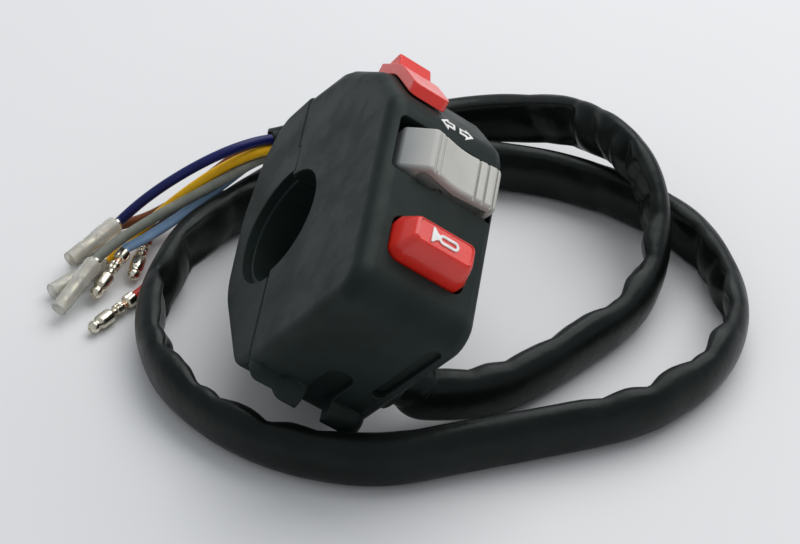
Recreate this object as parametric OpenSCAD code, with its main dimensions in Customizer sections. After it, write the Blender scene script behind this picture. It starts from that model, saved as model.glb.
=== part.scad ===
// Left-hand handlebar switch cluster: a clamp housing in two halves with a turn-signal rocker, a horn
// button and a light slider, a sleeved loom and seven leads with bullet terminals. Millimetres.
// The housing is drawn in its own axes: X along the bar from the grip end, Y up in use, Z to the controls.
// It is then laid on the bench as it rests, dipping along the bar and rolled about it.

/* [Bar clamp] */
// Diameter of the bar that the bore closes on
bar_d = 22.2; // [21.8:0.1:22.6]
// Length of the housing along the bar
body_len = 25; // [25:0.5:30]
// Wall of the saddle around the bar
saddle_wall = 2.2; // [1.8:0.1:2.4]
// Depth of the relief at the grip end of the rear half
relief_depth = 1.6; // [1:0.1:2.4]

/* [Housing shell] */
// Depth of the front half from the seam to the control face
front_depth = 33.3; // [33:0.1:36]
// Depth of the rear half behind the seam
rear_depth = 17.2; // [16.4:0.1:19]
// Reach of the housing above the bar axis
top_reach = 31.7; // [31.4:0.1:34]
// Reach of the housing below the bar axis
low_reach = 32.5; // [32.3:0.1:35]
// Thickness of the moulded walls
wall = 2.4; // [2.1:0.1:2.6]
// Rounding of the two end edges of the front half
end_round = 3; // [1.5:0.1:3.4]
// Rounding of the two end edges of the rear half
rear_round = 1.4; // [0.8:0.1:2.4]

/* [Turn rocker] */
// Housing left at the two ends of the rocker, together
rocker_ends = 5.2; // [5.2:0.2:7]
// Width of the rocker across the bar
rocker_w = 9.4; // [8.6:0.1:9.6]
// Height of the rocker's hump above the control face
rocker_rise = 3.1; // [2.6:0.1:3.6]
// Dip of the rocker's middle below its hump
rocker_dip = 1.7; // [1:0.1:2]
// Tilt of the rocker to either side
rocker_tilt = 8; // [7:0.5:9]

/* [Horn button] */
// Length of the button at its foot
horn_len = 15.2; // [14:0.2:15.4]
// Width of the button at its foot
horn_w = 8.7; // [8.3:0.1:9.2]
// Height of the button above the control face
horn_rise = 5.4; // [4.4:0.1:6]
// Travel of the button when pressed
horn_travel = 2; // [1:0.1:2]

/* [Light slider] */
// Length of the slider's foot along the bar
slider_len = 7.8; // [7.4:0.2:8.6]
// Height of the thumb lug above the foot
lug_rise = 2.6; // [2:0.1:3.4]
// Travel of the slider to either side of its middle
slider_travel = 1.5; // [1.4:0.1:1.6]

/* [Cable] */
// Diameter of the sleeve while it is round
sleeve_d = 9; // [8.6:0.1:9.2]
// Diameter of one lead
lead_d = 2; // [1.6:0.1:2]
// Length of a bullet terminal with its crimp
bullet_len = 12; // [10:0.5:12]

/* [Resting pose] */
// Dip of the bar axis towards the far end, degrees
bench_dip = 37; // [34:0.5:40]
// Roll about the bar axis that lifts the upper end, degrees
bench_roll = 17; // [14:0.5:19]

/* [Hidden] */
$fn = 48;
run_gap = 0.35;
bar_r = bar_d / 2;
saddle_r = bar_r + saddle_wall;
mid_x = body_len / 2;
face = front_depth;
inner_x = mid_x - wall;
skirt = 6;
gap_deep = 0.45;
gap_high = 0.45;

// Corners of the two housing profiles as [y, z, radius]; both run past the seam and are cut there
front_corners = [
  [-low_reach, -skirt, 0],
  [top_reach + 0.3, -skirt, 0],
  [top_reach - 0.9, 12.5, 7],
  [top_reach - 8.9, face - 8.6, 9],
  [11.5, face, 6],
  [1.2 - low_reach, face, 6]];
rear_corners = [
  [3 - low_reach, -5.5, 5],
  [-8, 0.8 - rear_depth, 22],
  [10, -rear_depth, 22],
  [top_reach - 7.5, 3 - rear_depth, 8],
  [top_reach - 1, -8.8, 4],
  [top_reach, skirt, 0],
  [2 - low_reach, skirt, 0]];

// Turn rocker: the pin's place, the cap's side profile about it and the arc that the contacts lie on
rock_x = mid_x + 1;
rock_y = 1.6;
rocker_len = body_len - rocker_ends;
pin_r = 1;
pin_z = face - 3.3;
cheek_w = 2.3;
cheek_z = face - 6.3;
pocket_half = rocker_w / 2 + 1.2;
pocket_len = rocker_len + 2;
pocket_x = rock_x - 0.4;
hump_z = face + rocker_rise - pin_z;
rocker_low = -1.1;
rocker_corners = [
  [-rocker_len / 2, rocker_low, 0.5],
  [rocker_len / 2, rocker_low, 0.5],
  [rocker_len / 2, hump_z - rocker_dip / 2, 1.4],
  [1.5, hump_z - rocker_dip, 16],
  [-5.2, hump_z, 1.6],
  [-rocker_len / 2, hump_z - 4, 1.2]];
grooves = [[5, 0.55], [6.8, 0.55], [8.6, 0.55], [-3.2, 0.3], [-4.4, 0.3]];
contact_angles = [-rocker_tilt - 2, 0, rocker_tilt + 2];
contact_w = 1.1;
tail_r = 0.5;
cap_t = 1.7;
cap_over = 1.4;
stem_drop = 7;
tip_r = 9.2;
arc_r = 9.6;
arc_t = 0.8;
plunger_r = 1.2;

// Horn button: its place, rounding, guide and stem
horn_y = 14.6 - low_reach;
horn_round = 2.2;
tube_wall = 1.5;
tube_z = face - 4.4;
horn_plate_z = face - 11.6;
horn_plate_t = 2;
stem_r = 2;
disc_z = horn_plate_z - 3.3;
disc_t = 0.8;
leaf_gap = 0.3;
panel_deep = 0.35;

// Light slider: the flat of the upper front edge that it runs on
flat_a = [front_corners[2][0], front_corners[2][1]];
flat_b = [front_corners[3][0], front_corners[3][1]];
flat_at = flat_a + (flat_b - flat_a) * 0.62;
flat_slope = atan2(flat_a[0] - flat_b[0], flat_b[1] - flat_a[1]);
slot_stem = [2, 3];
carriage = [9.2, 7, 3];
end_gap = 0.5;
slot_x = wall + end_gap + carriage[0] / 2 + slider_travel;
carriage_z = -wall - run_gap;
light_floor_z = carriage_z - carriage[2] - 2.1;
light_floor_t = 1.75;
ball_r = 1.1;
ball_x = -2.9;
foot_t = 2.2;
foot_y = [-16.4, 4.2];
lug_len = 7;
ridge_z = run_gap + foot_t + lug_rise;
lug_corners = [[-6.9, run_gap + 0.05, 0.1], [3.6, run_gap + 0.05, 0.1], [-1.7, ridge_z, 0.8]];
contact_r = 0.5;

// Clamp screws: upper and lower place, seat and length
screw_y = [20.5, 7 - low_reach];
seat_z = [-6.5, -3.5];
screw_top = [6.5, 8.5];
screw_r = 2;
head_r = 3.5;
head_h = 2.6;
insert_r = 3;

// Gland in the far end wall
gland_at = [body_len, 9.5 - low_reach, 6.2];
gland_r = 5;
gland_lip = 1.5;

// Place of the bore's grip end over the bench, with the rear half's lowest corner on it, and of the
// origin under the middle of the housing
bore_height = -min([for (ring = end_rings(rear_corners, rear_round), p = ring) dipped(rolled(p)).z]);
set_down = [14.88, -3.35];

shell_black = [0.13, 0.15, 0.15];
inner_black = [0.09, 0.1, 0.1];
cap_grey = [0.62, 0.62, 0.58];
cap_red = [0.86, 0.2, 0.15];
brass = [0.78, 0.66, 0.36];
steel = [0.72, 0.73, 0.75];
copper = [0.8, 0.48, 0.3];
mark_white = [0.95, 0.95, 0.93];

// Sleeve: ring sizes and the route over the bench, from the gland round to the open end
sleeve_sides = 12;
sleeve_half_w = 0.378 * sleeve_d;
sleeve_half_h = 0.6 * sleeve_d;
gland_way = [for (d = [0, 3.5, 7]) on_bench(gland_at + [gland_lip + d, 0, 0])];
sleeve_route = concat(gland_way, [
  [37, -21, 6], [47, -15, 5.6], [63, -0.5, 5.8], [68.5, 9, 6.6],
  [71, 18.5, 9.5], [70.6, 27, 14], [67.6, 34.5, 17], [63, 43.5, 16], [57, 53, 12.5], [49.5, 59, 9],
  [41, 62, 7], [31, 61.5, 6], [19, 57, 5.6], [7, 50, 5.6], [-7.5, 36.5, 5.6], [-18, 25, 5.6],
  [-22.5, 14, 5.6], [-24.5, 3.5, 5.6], [-23.5, -7, 5.6], [-19, -18, 5.6], [-9, -29, 5.6],
  [3.5, -36, 5.6], [17.5, -38.5, 5.6], [32, -35.5, 5.6], [60.5, -28, 5.6],
  [72, -21, 5.6], [80, -12, 5.6], [84, -1, 5.6], [83.5, 10.5, 5.6], [79, 24, 5.6], [69, 35, 5.6],
  [55, 43.5, 5.6], [41, 47.5, 5.8], [28, 48, 7.4], [16, 46, 11.5], [6, 43, 16], [-3, 40.5, 17.2]]);

// Leads: the route of each over the bench, from the sleeve's open end to its terminal, and where it points
sleeve_path = smooth(sleeve_route, 2);
mouth_at = sleeve_route[len(sleeve_route) - 1];
mouth_way = along(sleeve_path, len(sleeve_path) - 1);
mouth_side = unit(cross([0, 0, 1], mouth_way));
mouth_up = cross(mouth_way, mouth_side);
navy_route = concat(from_mouth(1.25, 3.5), [[-11, 35.2, 20.8], [-17, 33.4, 17.6], [-24.5, 32.6, 12.6],
  [-29.6, 31.6, 8.6], [-33.3, 29.4, 6]]);
navy_tip = [-43.1, 18.3, 4.4];
yellow_route = concat(from_mouth(1.25, 1.15), [[-11, 35.8, 17.4], [-18, 34, 12], [-23, 32.6, 8.2],
  [-27, 29.8, 5.8], [-31.5, 26, 3.8], [-35.5, 22.2, 2.2]]);
yellow_tip = [-43.7, 14.5, 2];
grey_route = concat(from_mouth(1.25, -1.2), [[-11, 34.2, 14.6], [-18, 30.6, 11.4], [-24, 28.4, 9.4],
  [-30.7, 24, 8], [-36.6, 17.8, 5.8]]);
grey_tip = [-42.8, 7.4, 2.9];
sky_route = concat(from_mouth(1.25, -3.55), [[-12, 35, 11.6], [-19, 31.2, 7.8], [-24.5, 27.2, 6],
  [-28.4, 24.4, 5.1], [-31.5, 22, 4.6]]);
sky_tip = [-37.6, 10.1, 1.7];
brown_route = concat(from_mouth(-1.25, 1.3), [[-12, 39.5, 15.1], [-20, 37.6, 8], [-26, 36.6, 4],
  [-31, 35.6, 2], [-34.9, 33.1, 1.6]]);
brown_tip = [-43.1, 21.7, 1.5];
black_route = concat(from_mouth(-1.25, -1.1), [[-12, 40.4, 12], [-19, 37.5, 5.4], [-24, 33.3, 2.8],
  [-26.6, 31, 2.4], [-27.7, 29.2, 2.3]]);
black_tip = [-30.3, 14.6, 1.6];
red_route = concat(from_mouth(-1.25, -3.6), [[-9.5, 42.6, 9.2], [-14, 41.4, 5.2], [-19.5, 36, 2.2],
  [-24, 27, 1.2], [-25.2, 20, 1.2], [-26.8, 14.8, 1.2], [-29.3, 11.6, 1.6]]);
red_tip = [-36.3, 2.8, 1.6];
bullet_r = 1.45;
boot_r = 1.85;
boot_len = 13;

// Places of the four light contacts along the slider, one travel apart
function pad_x(k) = 2.9 + (k - 1.5) * slider_travel;

// Rotation of a housing point on to the bench
function rolled(p) = [p.x, p.y * cos(bench_roll) - p.z * sin(bench_roll),
  p.y * sin(bench_roll) + p.z * cos(bench_roll)];
function dipped(p) = [p.x * cos(bench_dip) + p.z * sin(bench_dip), p.y,
  p.z * cos(bench_dip) - p.x * sin(bench_dip)];
function on_bench(p) = dipped(rolled(p)) + [0, 0, bore_height];

// Rounded polygons: corners come as [x, y, radius]
function unit(v) = v / norm(v);
function flat(c) = [c[0], c[1]];
function left(v) = unit([-v.y, v.x]);
function corner_arc(a, b, c, r, n) =
  let (u = unit(a - b), v = unit(c - b), half = acos(u * v) / 2)
  let (o = b + unit(u + v) * r / sin(half), s = b + u * r / tan(half), e = b + v * r / tan(half))
  let (from = atan2(s.y - o.y, s.x - o.x), to = atan2(e.y - o.y, e.x - o.x))
  let (turn = (to - from + 540) % 360 - 180)
  [for (i = [0:n]) o + r * [cos(from + turn * i / n), sin(from + turn * i / n)]];
function rounded(cs, n = 6) = [for (i = [0:len(cs) - 1])
  let (a = flat(cs[(i + len(cs) - 1) % len(cs)]), b = flat(cs[i]), c = flat(cs[(i + 1) % len(cs)]))
  each cs[i][2] > 0 ? corner_arc(a, b, c, cs[i][2], n) : [b]];
function inset(cs, d) = [for (i = [0:len(cs) - 1])
  let (a = flat(cs[(i + len(cs) - 1) % len(cs)]), b = flat(cs[i]), c = flat(cs[(i + 1) % len(cs)]))
  let (m = left(b - a), n = left(c - b), p = b + (m + n) * d / (1 + m * n))
  [p.x, p.y, cs[i][2] > 0 ? max(cs[i][2] - d, 0.1) : 0]];
function box_corners(w, h, r) =
  [[-w / 2, -h / 2, r], [w / 2, -h / 2, r], [w / 2, h / 2, r], [-w / 2, h / 2, r]];

// Sections of a solid along its length, drawn in towards both ends
function end_rings(cs, r, l = body_len) =
  let (near = [for (a = [0:30:90]) [r * (1 - cos(a)), r * (1 - sin(a))]])
  let (far = [for (i = [3:-1:0]) [l - near[i][0], near[i][1]]])
  [for (s = concat(near, far)) [for (p = rounded(inset(cs, s[1]))) [s[0], p.x, p.y]]];

// Smooth curve through route points
function spline_at(a, b, c, d, t) = 0.5 * (2 * b + (c - a) * t + (2 * a - 5 * b + 4 * c - d) * t * t
  + (3 * b - a - 3 * c + d) * t * t * t);
function smooth(p, n) = [for (i = [0:len(p) - 2], k = [0:n - 1])
  let (a = p[max(i - 1, 0)], d = p[min(i + 2, len(p) - 1)]) spline_at(a, p[i], p[i + 1], d, k / n),
  p[len(p) - 1]];
function from_mouth(a, b) = [for (d = [0, 1.5, 3]) mouth_at + mouth_side * a + mouth_up * b + mouth_way * d];
function along(p, i) = unit(p[min(i + 1, len(p) - 1)] - p[max(i - 1, 0)]);
function least_gap(p, skip, d) = min([for (i = [0:len(p) - 1], j = [i + skip:1:len(p) - 1])
  norm(p[i] - p[j])]) - d;

// Solid through rings of equal count
module loft(rings) {
  n = len(rings[0]);
  last = len(rings) - 1;
  sides = [for (i = [0:last - 1], k = [0:n - 1])
    let (a = i * n + k, b = a + n, c = (i + 1) * n + (k + 1) % n, d = c - n)
    each [[a, b, c], [a, c, d]]];
  polyhedron(
    points = [for (r = rings, p = r) p],
    faces = concat([[for (k = [0:n - 1]) k]], sides, [[for (k = [n - 1:-1:0]) last * n + k]]),
    convexity = 6);
}

// Tube along points, with a half width and a half height at each ring
module tube(path, half_w, half_h, sides) {
  rings = [for (i = [0:len(path) - 1])
    let (t = along(path, i), side = unit(cross([0, 0, 1], t)), up = cross(t, side))
    [for (k = [0:sides - 1]) path[i] + side * half_w[i] * cos(360 * k / sides)
      + up * half_h[i] * sin(360 * k / sides)]];
  loft(rings);
}

// Coil spring along Z from 0, one unbroken tube
module coil(r, wire, turns, height) {
  n = turns * 8;
  path = [for (i = [0:n]) [r * cos(45 * i), r * sin(45 * i), wire / 2 + (height - wire) * i / n]];
  rings = [for (i = [0:n])
    let (t = along(path, i), out = unit([path[i].x, path[i].y, 0]), up = cross(t, out))
    [for (k = [0:5]) path[i] + (out * cos(60 * k) + up * sin(60 * k)) * wire / 2]];
  loft(rings);
  echo(str("coil of radius ", r, ": least gap to itself ", least_gap(path, 5, wire)));
}

// Extrusion of a profile in Y and Z along the bar, and a round bar along it
module along_bar(x, l) {
  translate([x, 0, 0]) rotate([90, 0, 90]) linear_extrude(height = l) children();
}
module bar_round(x, l, r) {
  translate([x, 0, 0]) rotate([0, 90, 0]) cylinder(h = l, r = r, $fn = 96);
}

// Housing form with rounded end edges
module soft_ended(cs, r) {
  loft(end_rings(cs, r));
}

// Block centred in X and Y with rounded upright edges
module pad(size, r) {
  linear_extrude(height = size.z) polygon(rounded(box_corners(size.x, size.y, r), 4));
}

// Places in the housing
module laid() {
  translate([-set_down.x, -set_down.y, bore_height]) rotate([0, bench_dip, 0]) rotate([bench_roll, 0, 0])
    children();
}
module on_table() {
  translate([-set_down.x, -set_down.y, 0]) children();
}
module at_pin() {
  translate([rock_x, rock_y, pin_z]) children();
}
module at_horn() {
  translate([mid_x, horn_y, 0]) children();
}
module at_slot() {
  translate([slot_x, flat_at[0], flat_at[1]]) rotate([flat_slope - 90, 0, 0]) children();
}
module at_slider() {
  translate([-slider_travel, 0, 0]) at_slot() children();
}
module turn_screw_places() {
  for (s = [-1, 1])
    translate([mid_x + s * (inner_x - 3.1), rock_y + pocket_half + cheek_w + 2.4, 0]) children();
}
module horn_screw_places() {
  for (s = [-1, 1]) translate([mid_x + s * (inner_x - 3.1), horn_y - 8.8, 0]) children();
}
module light_screw_places() {
  for (s = [-1, 1]) translate([mid_x - slot_x + s * (inner_x - 2.7), 6.9, 0]) children();
}
module clamp_screw_places() {
  for (i = [0, 1]) translate([mid_x, screw_y[i], 0]) {
    $seat = seat_z[i];
    $top = screw_top[i];
    children();
  }
}

// Front half: shell, saddle, guides and bosses
module front_form() {
  difference() {
    soft_ended(front_corners, end_round);
    translate([-1, -60, -20]) cube([body_len + 2, 120, 20]);
  }
}
module front_lip() {
  for (l = [[0.4, 2.6], [5, 3.8]]) intersection() {
    translate([0, 0.8 - low_reach, 0]) hull() for (x = [l[0] + l[1] * 0.7, body_len - 0.6 - l[1] * 0.7])
      translate([x, 0, 0]) scale([0.7, 1, 1]) sphere(r = l[1], $fn = 24);
    translate([0, -60, 0]) cube([body_len, 60 - low_reach + 2, 12]);
  }
}
// Step in the seam that shows as a dark line between the halves
module shadow_gap() {
  difference() {
    translate([-1, -60, -1]) cube([body_len + 2, 120, 1 + gap_high]);
    translate([gap_deep, gap_deep - low_reach, -2])
      cube([body_len, low_reach + top_reach, 4] - gap_deep * [2, 2, 0]);
  }
}
module front_hollow() {
  difference() {
    along_bar(wall, body_len - 2 * wall) polygon(rounded(inset(front_corners, wall)));
    bar_round(0, body_len, saddle_r);
    translate([0, rock_y - pocket_half - cheek_w, cheek_z]) cube([body_len, 2 * (pocket_half + cheek_w), 20]);
    at_horn() translate([0, 0, tube_z])
      pad([horn_len + 2 * (run_gap + tube_wall), horn_w + 2 * (run_gap + tube_wall), 20], 2);
    turn_screw_places() translate([0, 0, cheek_z]) cylinder(h = 20, r = 2.2);
    horn_screw_places() translate([0, 0, horn_plate_z + horn_plate_t]) cylinder(h = 40, r = 2.1);
    clamp_screw_places() translate([0, 0, -1]) {
      cylinder(h = $top + 3, r = insert_r + 1);
      translate([-1.5, -12, 0]) cube([3, 24, $top + 3]);
    }
    at_slot() light_screw_places() translate([0, 0, light_floor_z]) cylinder(h = 12, r = 2);
  }
}
module rocker_pocket() {
  translate([pocket_x, rock_y, cheek_z - 1]) pad([pocket_len, 2 * pocket_half, 12], 1);
  translate([rock_x, rock_y - 20, pin_z]) rotate([-90, 0, 0]) intersection() {
    cylinder(h = 40, r = pin_r + 0.02);
    translate([-5, -5, 20 - pocket_half - cheek_w]) cube([10, 10, 2 * (pocket_half + cheek_w)]);
  }
}
module horn_guide() {
  at_horn() translate([0, 0, tube_z - 1]) pad([horn_len + 2 * run_gap, horn_w + 2 * run_gap, 12], horn_round);
}
module slider_slot() {
  at_slot() translate([0, 0, -wall - 3])
    pad([slot_stem[0] + 2 * (slider_travel + run_gap), slot_stem[1] + 2 * run_gap, wall + 6], 0.8);
}
module underside_marks() {
  translate([mid_x + 1, -low_reach - 3, 0]) {
    translate([0, 0, 9]) rotate([-90, 0, 0]) cylinder(h = 5, r = 2.6);
    translate([-2.6, 0, -1]) cube([5.2, 5, 10]);
  }
  for (z = [11, 27]) translate([body_len - 4, -low_reach - 3, z]) rotate([-90, 0, 0]) cylinder(h = 5, r = 1.2);
  translate([body_len - 5.2, -low_reach - 3, 11]) cube([2.4, 5, 16]);
}
module front_housing() {
  color(shell_black) difference() {
    union() {
      front_form();
      front_lip();
    }
    front_hollow();
    bar_round(-1, body_len + 2, bar_r);
    rocker_pocket();
    horn_guide();
    slider_slot();
    underside_marks();
    shadow_gap();
    seam_key(-1, 0.05);
    turn_screw_places() translate([0, 0, cheek_z - 1]) cylinder(h = 4.5, r = 1);
    horn_screw_places() translate([0, 0, horn_plate_z]) cylinder(h = 8, r = 1);
    at_slot() light_screw_places() translate([0, 0, light_floor_z - 1]) cylinder(h = 5, r = 1);
    clamp_screw_places() {
      translate([0, 0, -1]) cylinder(h = $top + 1.5, r = insert_r);
    }
    translate(gland_at - [wall + 3, 0, 0]) rotate([0, 90, 0]) cylinder(h = wall + 6, r = gland_r);
  }
}

// Step of the seam that locates the halves on each other
module seam_key(start, gap) {
  translate([start, bar_r + 1 - gap, -1]) cube([wall - start + gap, 6 + 2 * gap, 1.9 + gap]);
}

// Rear half: clamp cap with its relief, pockets and screw seats
module rear_hollow() {
  difference() {
    along_bar(wall, body_len - 2 * wall) polygon(rounded(inset(rear_corners, wall)));
    bar_round(0, body_len, saddle_r);
    clamp_screw_places() translate([0, 0, -20]) cylinder(h = 30, r = head_r + 1.3);
  }
}
module rear_housing() {
  color(shell_black) difference() {
    union() {
      difference() {
        soft_ended(rear_corners, rear_round);
        translate([-1, -60, 0]) cube([body_len + 2, 120, 20]);
      }
      seam_key(0, 0);
    }
    rear_hollow();
    bar_round(-1, body_len + 2, bar_r);
    intersection() {
      bar_round(-1, relief_depth + 1, bar_r + 1.2);
      translate([-2, -30, -30]) cube([10, 60, 30]);
    }
    clamp_screw_places() {
      translate([0, 0, -20]) cylinder(h = 30, r = screw_r + 0.25);
      translate([0, 0, $seat - 20]) cylinder(h = 20, r = head_r + 0.3);
    }
  }
}

// Fasteners
module clamp_screws() {
  color(steel) clamp_screw_places() difference() {
    union() {
      translate([0, 0, $seat]) cylinder(h = $top - $seat, r = screw_r);
      translate([0, 0, $seat - head_h]) cylinder(h = head_h, r = head_r);
    }
    for (a = [0, 90]) rotate([0, 0, a]) translate([-2, -0.45, $seat - head_h - 1]) cube([4, 0.9, 2.3]);
  }
}
module screw_inserts() {
  color(brass) clamp_screw_places() translate([0, 0, 0.5]) difference() {
    cylinder(h = $top - 0.5, r = insert_r);
    translate([0, 0, -1]) cylinder(h = $top + 1, r = screw_r);
    for (z = [1.6, 3.6]) translate([0, 0, z]) difference() {
      cylinder(h = 0.7, r = insert_r + 1);
      cylinder(h = 0.7, r = insert_r - 0.35);
    }
  }
}
module small_screw(thread, grip) {
  difference() {
    union() {
      translate([0, 0, -grip]) cylinder(h = thread + grip, r = 1);
      translate([0, 0, -grip - 1.3]) cylinder(h = 1.3, r = 1.9);
    }
    translate([-1.2, -0.3, -grip - 2]) cube([2.4, 0.6, 1.3]);
  }
}
module base_screws() {
  color(steel) {
    turn_screw_places() translate([0, 0, cheek_z]) small_screw(3.3, 2);
    horn_screw_places() translate([0, 0, horn_plate_z + horn_plate_t]) small_screw(5, horn_plate_t);
    at_slot() light_screw_places() translate([0, 0, light_floor_z]) small_screw(3.6, light_floor_t);
  }
}

// Turn rocker: a bent cap that stands over a narrower body, with a stem for the plunger below
function rocker_top(x) = lookup(x, [for (i = [4, 3, 2]) flat(rocker_corners[i])]);
module rocker_sides() {
  back = -6;
  ahead = rocker_len / 2 - 1.4;
  for (s = [-1, 1])
    translate([0, s * (rocker_w / 2 - cap_over) + (s > 0 ? cap_over + 1 : 0), 0]) rotate([90, 0, 0])
    linear_extrude(height = cap_over + 1) polygon([
      [back, rocker_low - 1],
      [ahead, rocker_low - 1],
      [ahead, rocker_top(ahead) - cap_t],
      [rocker_corners[3][0], rocker_top(rocker_corners[3][0]) - cap_t],
      [rocker_corners[4][0], hump_z - cap_t],
      [back, hump_z - cap_t - 0.6]]);
}
module turn_rocker() {
  middle = hump_z - rocker_dip;
  color(cap_grey) at_pin() difference() {
    union() {
      difference() {
        translate([0, rocker_w / 2, 0]) rotate([0, 0, -90]) loft(end_rings(rocker_corners, 0.8, rocker_w));
        rocker_sides();
        translate([0, 0, -2]) pad([rocker_len - 7, rocker_w - 4 * cap_over, middle], 0.8);
      }
      translate([0, 0, -stem_drop]) pad([6, rocker_w - 2 * cap_over, stem_drop + middle - cap_t], 1);
    }
    for (g = grooves)
      translate([g[0] - 0.22, -rocker_w, rocker_top(g[0]) - g[1]]) cube([0.44, 2 * rocker_w, 3]);
    translate([0, -rocker_w, 0]) rotate([-90, 0, 0]) cylinder(h = 2 * rocker_w, r = pin_r + 0.05);
    translate([0, 0, -stem_drop - 1]) cylinder(h = 6.2, r = plunger_r + 0.1);
  }
}
module rocker_pin() {
  color(steel) at_pin() translate([0, -pocket_half - cheek_w, 0]) rotate([-90, 0, 0])
    cylinder(h = 2 * (pocket_half + cheek_w), r = pin_r);
}
module rocker_plunger() {
  color(brass) at_pin() union() {
    translate([0, 0, -tip_r + plunger_r]) sphere(r = plunger_r);
    translate([0, 0, -tip_r + plunger_r]) cylinder(h = tip_r - plunger_r - 4.9, r = plunger_r);
  }
}
module rocker_spring() {
  color(steel) at_pin() translate([0, 0, -4.8]) coil(0.9, 0.26, 3, 2.9);
}

// Turn base: cradle on an arc about the pin, with a middle contact and one for each side in it
module turn_cradle(r, half_y) {
  translate([0, half_y, 0]) rotate([90, 0, 0]) cylinder(h = 2 * half_y, r = r, $fn = 96);
}
module turn_base() {
  half_x = inner_x - 1.5;
  half_y = pocket_half + cheek_w;
  deep = arc_r + arc_t;
  top = cheek_z - pin_z;
  color(inner_black) difference() {
    union() {
      at_pin() difference() {
        translate([-half_x, -half_y, -deep - 1.6]) cube([2 * half_x, 2 * half_y, deep + 1.6 + top]);
        turn_cradle(deep, half_y - 1.6);
      }
      turn_screw_places() translate([0, -1.4, cheek_z - 2]) pad([5, 6.8, 2], 1.4);
    }
    turn_screw_places() translate([0, 0, cheek_z - 3]) cylinder(h = 4, r = 1.1);
    turn_screw_places() translate([0, 0, cheek_z - 30]) cylinder(h = 28, r = 2.3);
    for (a = contact_angles)
      at_pin() rotate([0, a, 0]) translate([0, 0, -deep - 4]) cylinder(h = 6, r = tail_r);
  }
}
module turn_contacts() {
  color(copper) for (a = contact_angles) at_pin() union() {
    intersection() {
      difference() {
        turn_cradle(arc_r + arc_t, 1.8);
        turn_cradle(arc_r, 3);
      }
      rotate([0, a, 0]) translate([-contact_w / 2, -3, -20]) cube([contact_w, 6, 20]);
    }
    rotate([0, a, 0]) translate([0, 0, -arc_r - arc_t - 3.4]) cylinder(h = 3.8, r = tail_r);
  }
}

// Horn button: tapered cap with a sunk panel, hollow foot, flange and stem
module horn_button() {
  cap = [horn_len - 2.3, horn_w - 3];
  soft = 1.4;
  color(cap_red) at_horn() difference() {
    union() {
      difference() {
        union() {
          hull() {
            for (x = [-1, 1], y = [-1, 1])
              translate([x * (cap.x / 2 - soft), y * (cap.y / 2 - soft), face + horn_rise - soft])
              sphere(r = soft, $fn = 24);
            translate([0, 0, face]) pad([horn_len, horn_w, 1], horn_round);
          }
          translate([0, 0, tube_z - 1]) pad([horn_len, horn_w, face - tube_z + 1.5], horn_round);
          translate([0, 0, tube_z - run_gap - 1.2]) pad([horn_len + 2.4, horn_w + 2, 1.2], horn_round);
        }
        translate([0, 0, tube_z - 4]) pad([horn_len - 3, horn_w - 3, face + 2.2 - tube_z + 4], 1);
      }
      translate([0, 0, disc_z - 1.2]) cylinder(h = face + 3 - disc_z + 1.2, r = stem_r);
    }
    translate([0, 0, face + horn_rise - panel_deep]) pad([cap.x - 1.8, cap.y - 1.6, 2], 0.8);
    translate([0, 0, disc_z - 1.5]) difference() {
      cylinder(h = 1.5 + disc_t, r = stem_r + 1);
      translate([0, 0, -1]) cylinder(h = 4, r = stem_r - 0.6);
    }
  }
}
module horn_symbol() {
  color(mark_white) at_horn() translate([0, 0, face + horn_rise - panel_deep]) linear_extrude(height = 0.25) {
    polygon([[-2.9, -1.5], [-2.6, -1.5], [-1.9, -0.75], [-1.2, -0.45], [-1.2, 0.45], [-1.9, 0.75], [-2.6, 1.5],
      [-2.9, 1.5]]);
    translate([0.6, 0]) difference() {
      polygon(rounded(box_corners(4.2, 1.9, 0.94)));
      polygon(rounded(box_corners(3.2, 0.9, 0.44)));
    }
  }
}
module horn_spring() {
  color(steel) at_horn() translate([0, 0, horn_plate_z + horn_plate_t])
    coil(2.55, 0.6, 6, face + 2.2 - horn_plate_z - horn_plate_t);
}
module horn_contact_disc() {
  color(copper) at_horn() translate([0, 0, disc_z]) difference() {
    cylinder(h = disc_t, r = 4);
    translate([0, 0, -1]) cylinder(h = 3, r = stem_r - 0.6);
  }
}
module horn_clip() {
  color(steel) at_horn() translate([0, 0, disc_z - 0.6]) difference() {
    cylinder(h = 0.6, r = 2.6);
    translate([0, 0, -1]) cylinder(h = 3, r = stem_r - 0.6);
    for (a = [0:60:300]) rotate([0, 0, a]) translate([2.2, -0.25, -1]) cube([1, 0.5, 3]);
  }
}
module horn_base() {
  leg_z = disc_z - horn_travel - leaf_gap;
  half_x = inner_x - 0.4;
  color(inner_black) at_horn() difference() {
    union() {
      translate([0, -2.4, horn_plate_z]) pad([2 * half_x, 16.4, horn_plate_t], 1.5);
      for (s = [-1, 1]) translate([s * (half_x - 1.5), 0, leg_z]) pad([3, 5, horn_plate_z - leg_z + 0.5], 0.6);
      translate([0, 0, horn_plate_z]) difference() {
        cylinder(h = horn_plate_t + 1.2, r = 4);
        cylinder(h = horn_plate_t + 2, r = 3.1);
      }
    }
    translate([0, 0, horn_plate_z - 1]) cylinder(h = 6, r = stem_r + 0.08);
    for (s = [-1, 1]) translate([s * (inner_x - 3.1), -8.8, horn_plate_z - 1]) cylinder(h = 6, r = 1.1);
  }
}
module horn_contacts() {
  leg_z = disc_z - horn_travel - leaf_gap;
  half_x = inner_x - 0.4;
  color(copper) at_horn() for (s = [-1, 1]) translate([s * half_x, 0, leg_z]) mirror([s > 0 ? 1 : 0, 0, 0]) {
    translate([0, -1.8, -0.4]) cube([half_x - 3.1, 3.6, 0.4]);
    translate([0, -1.8, -0.7]) cube([0.4, 3.6, 0.5]);
  }
}

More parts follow.
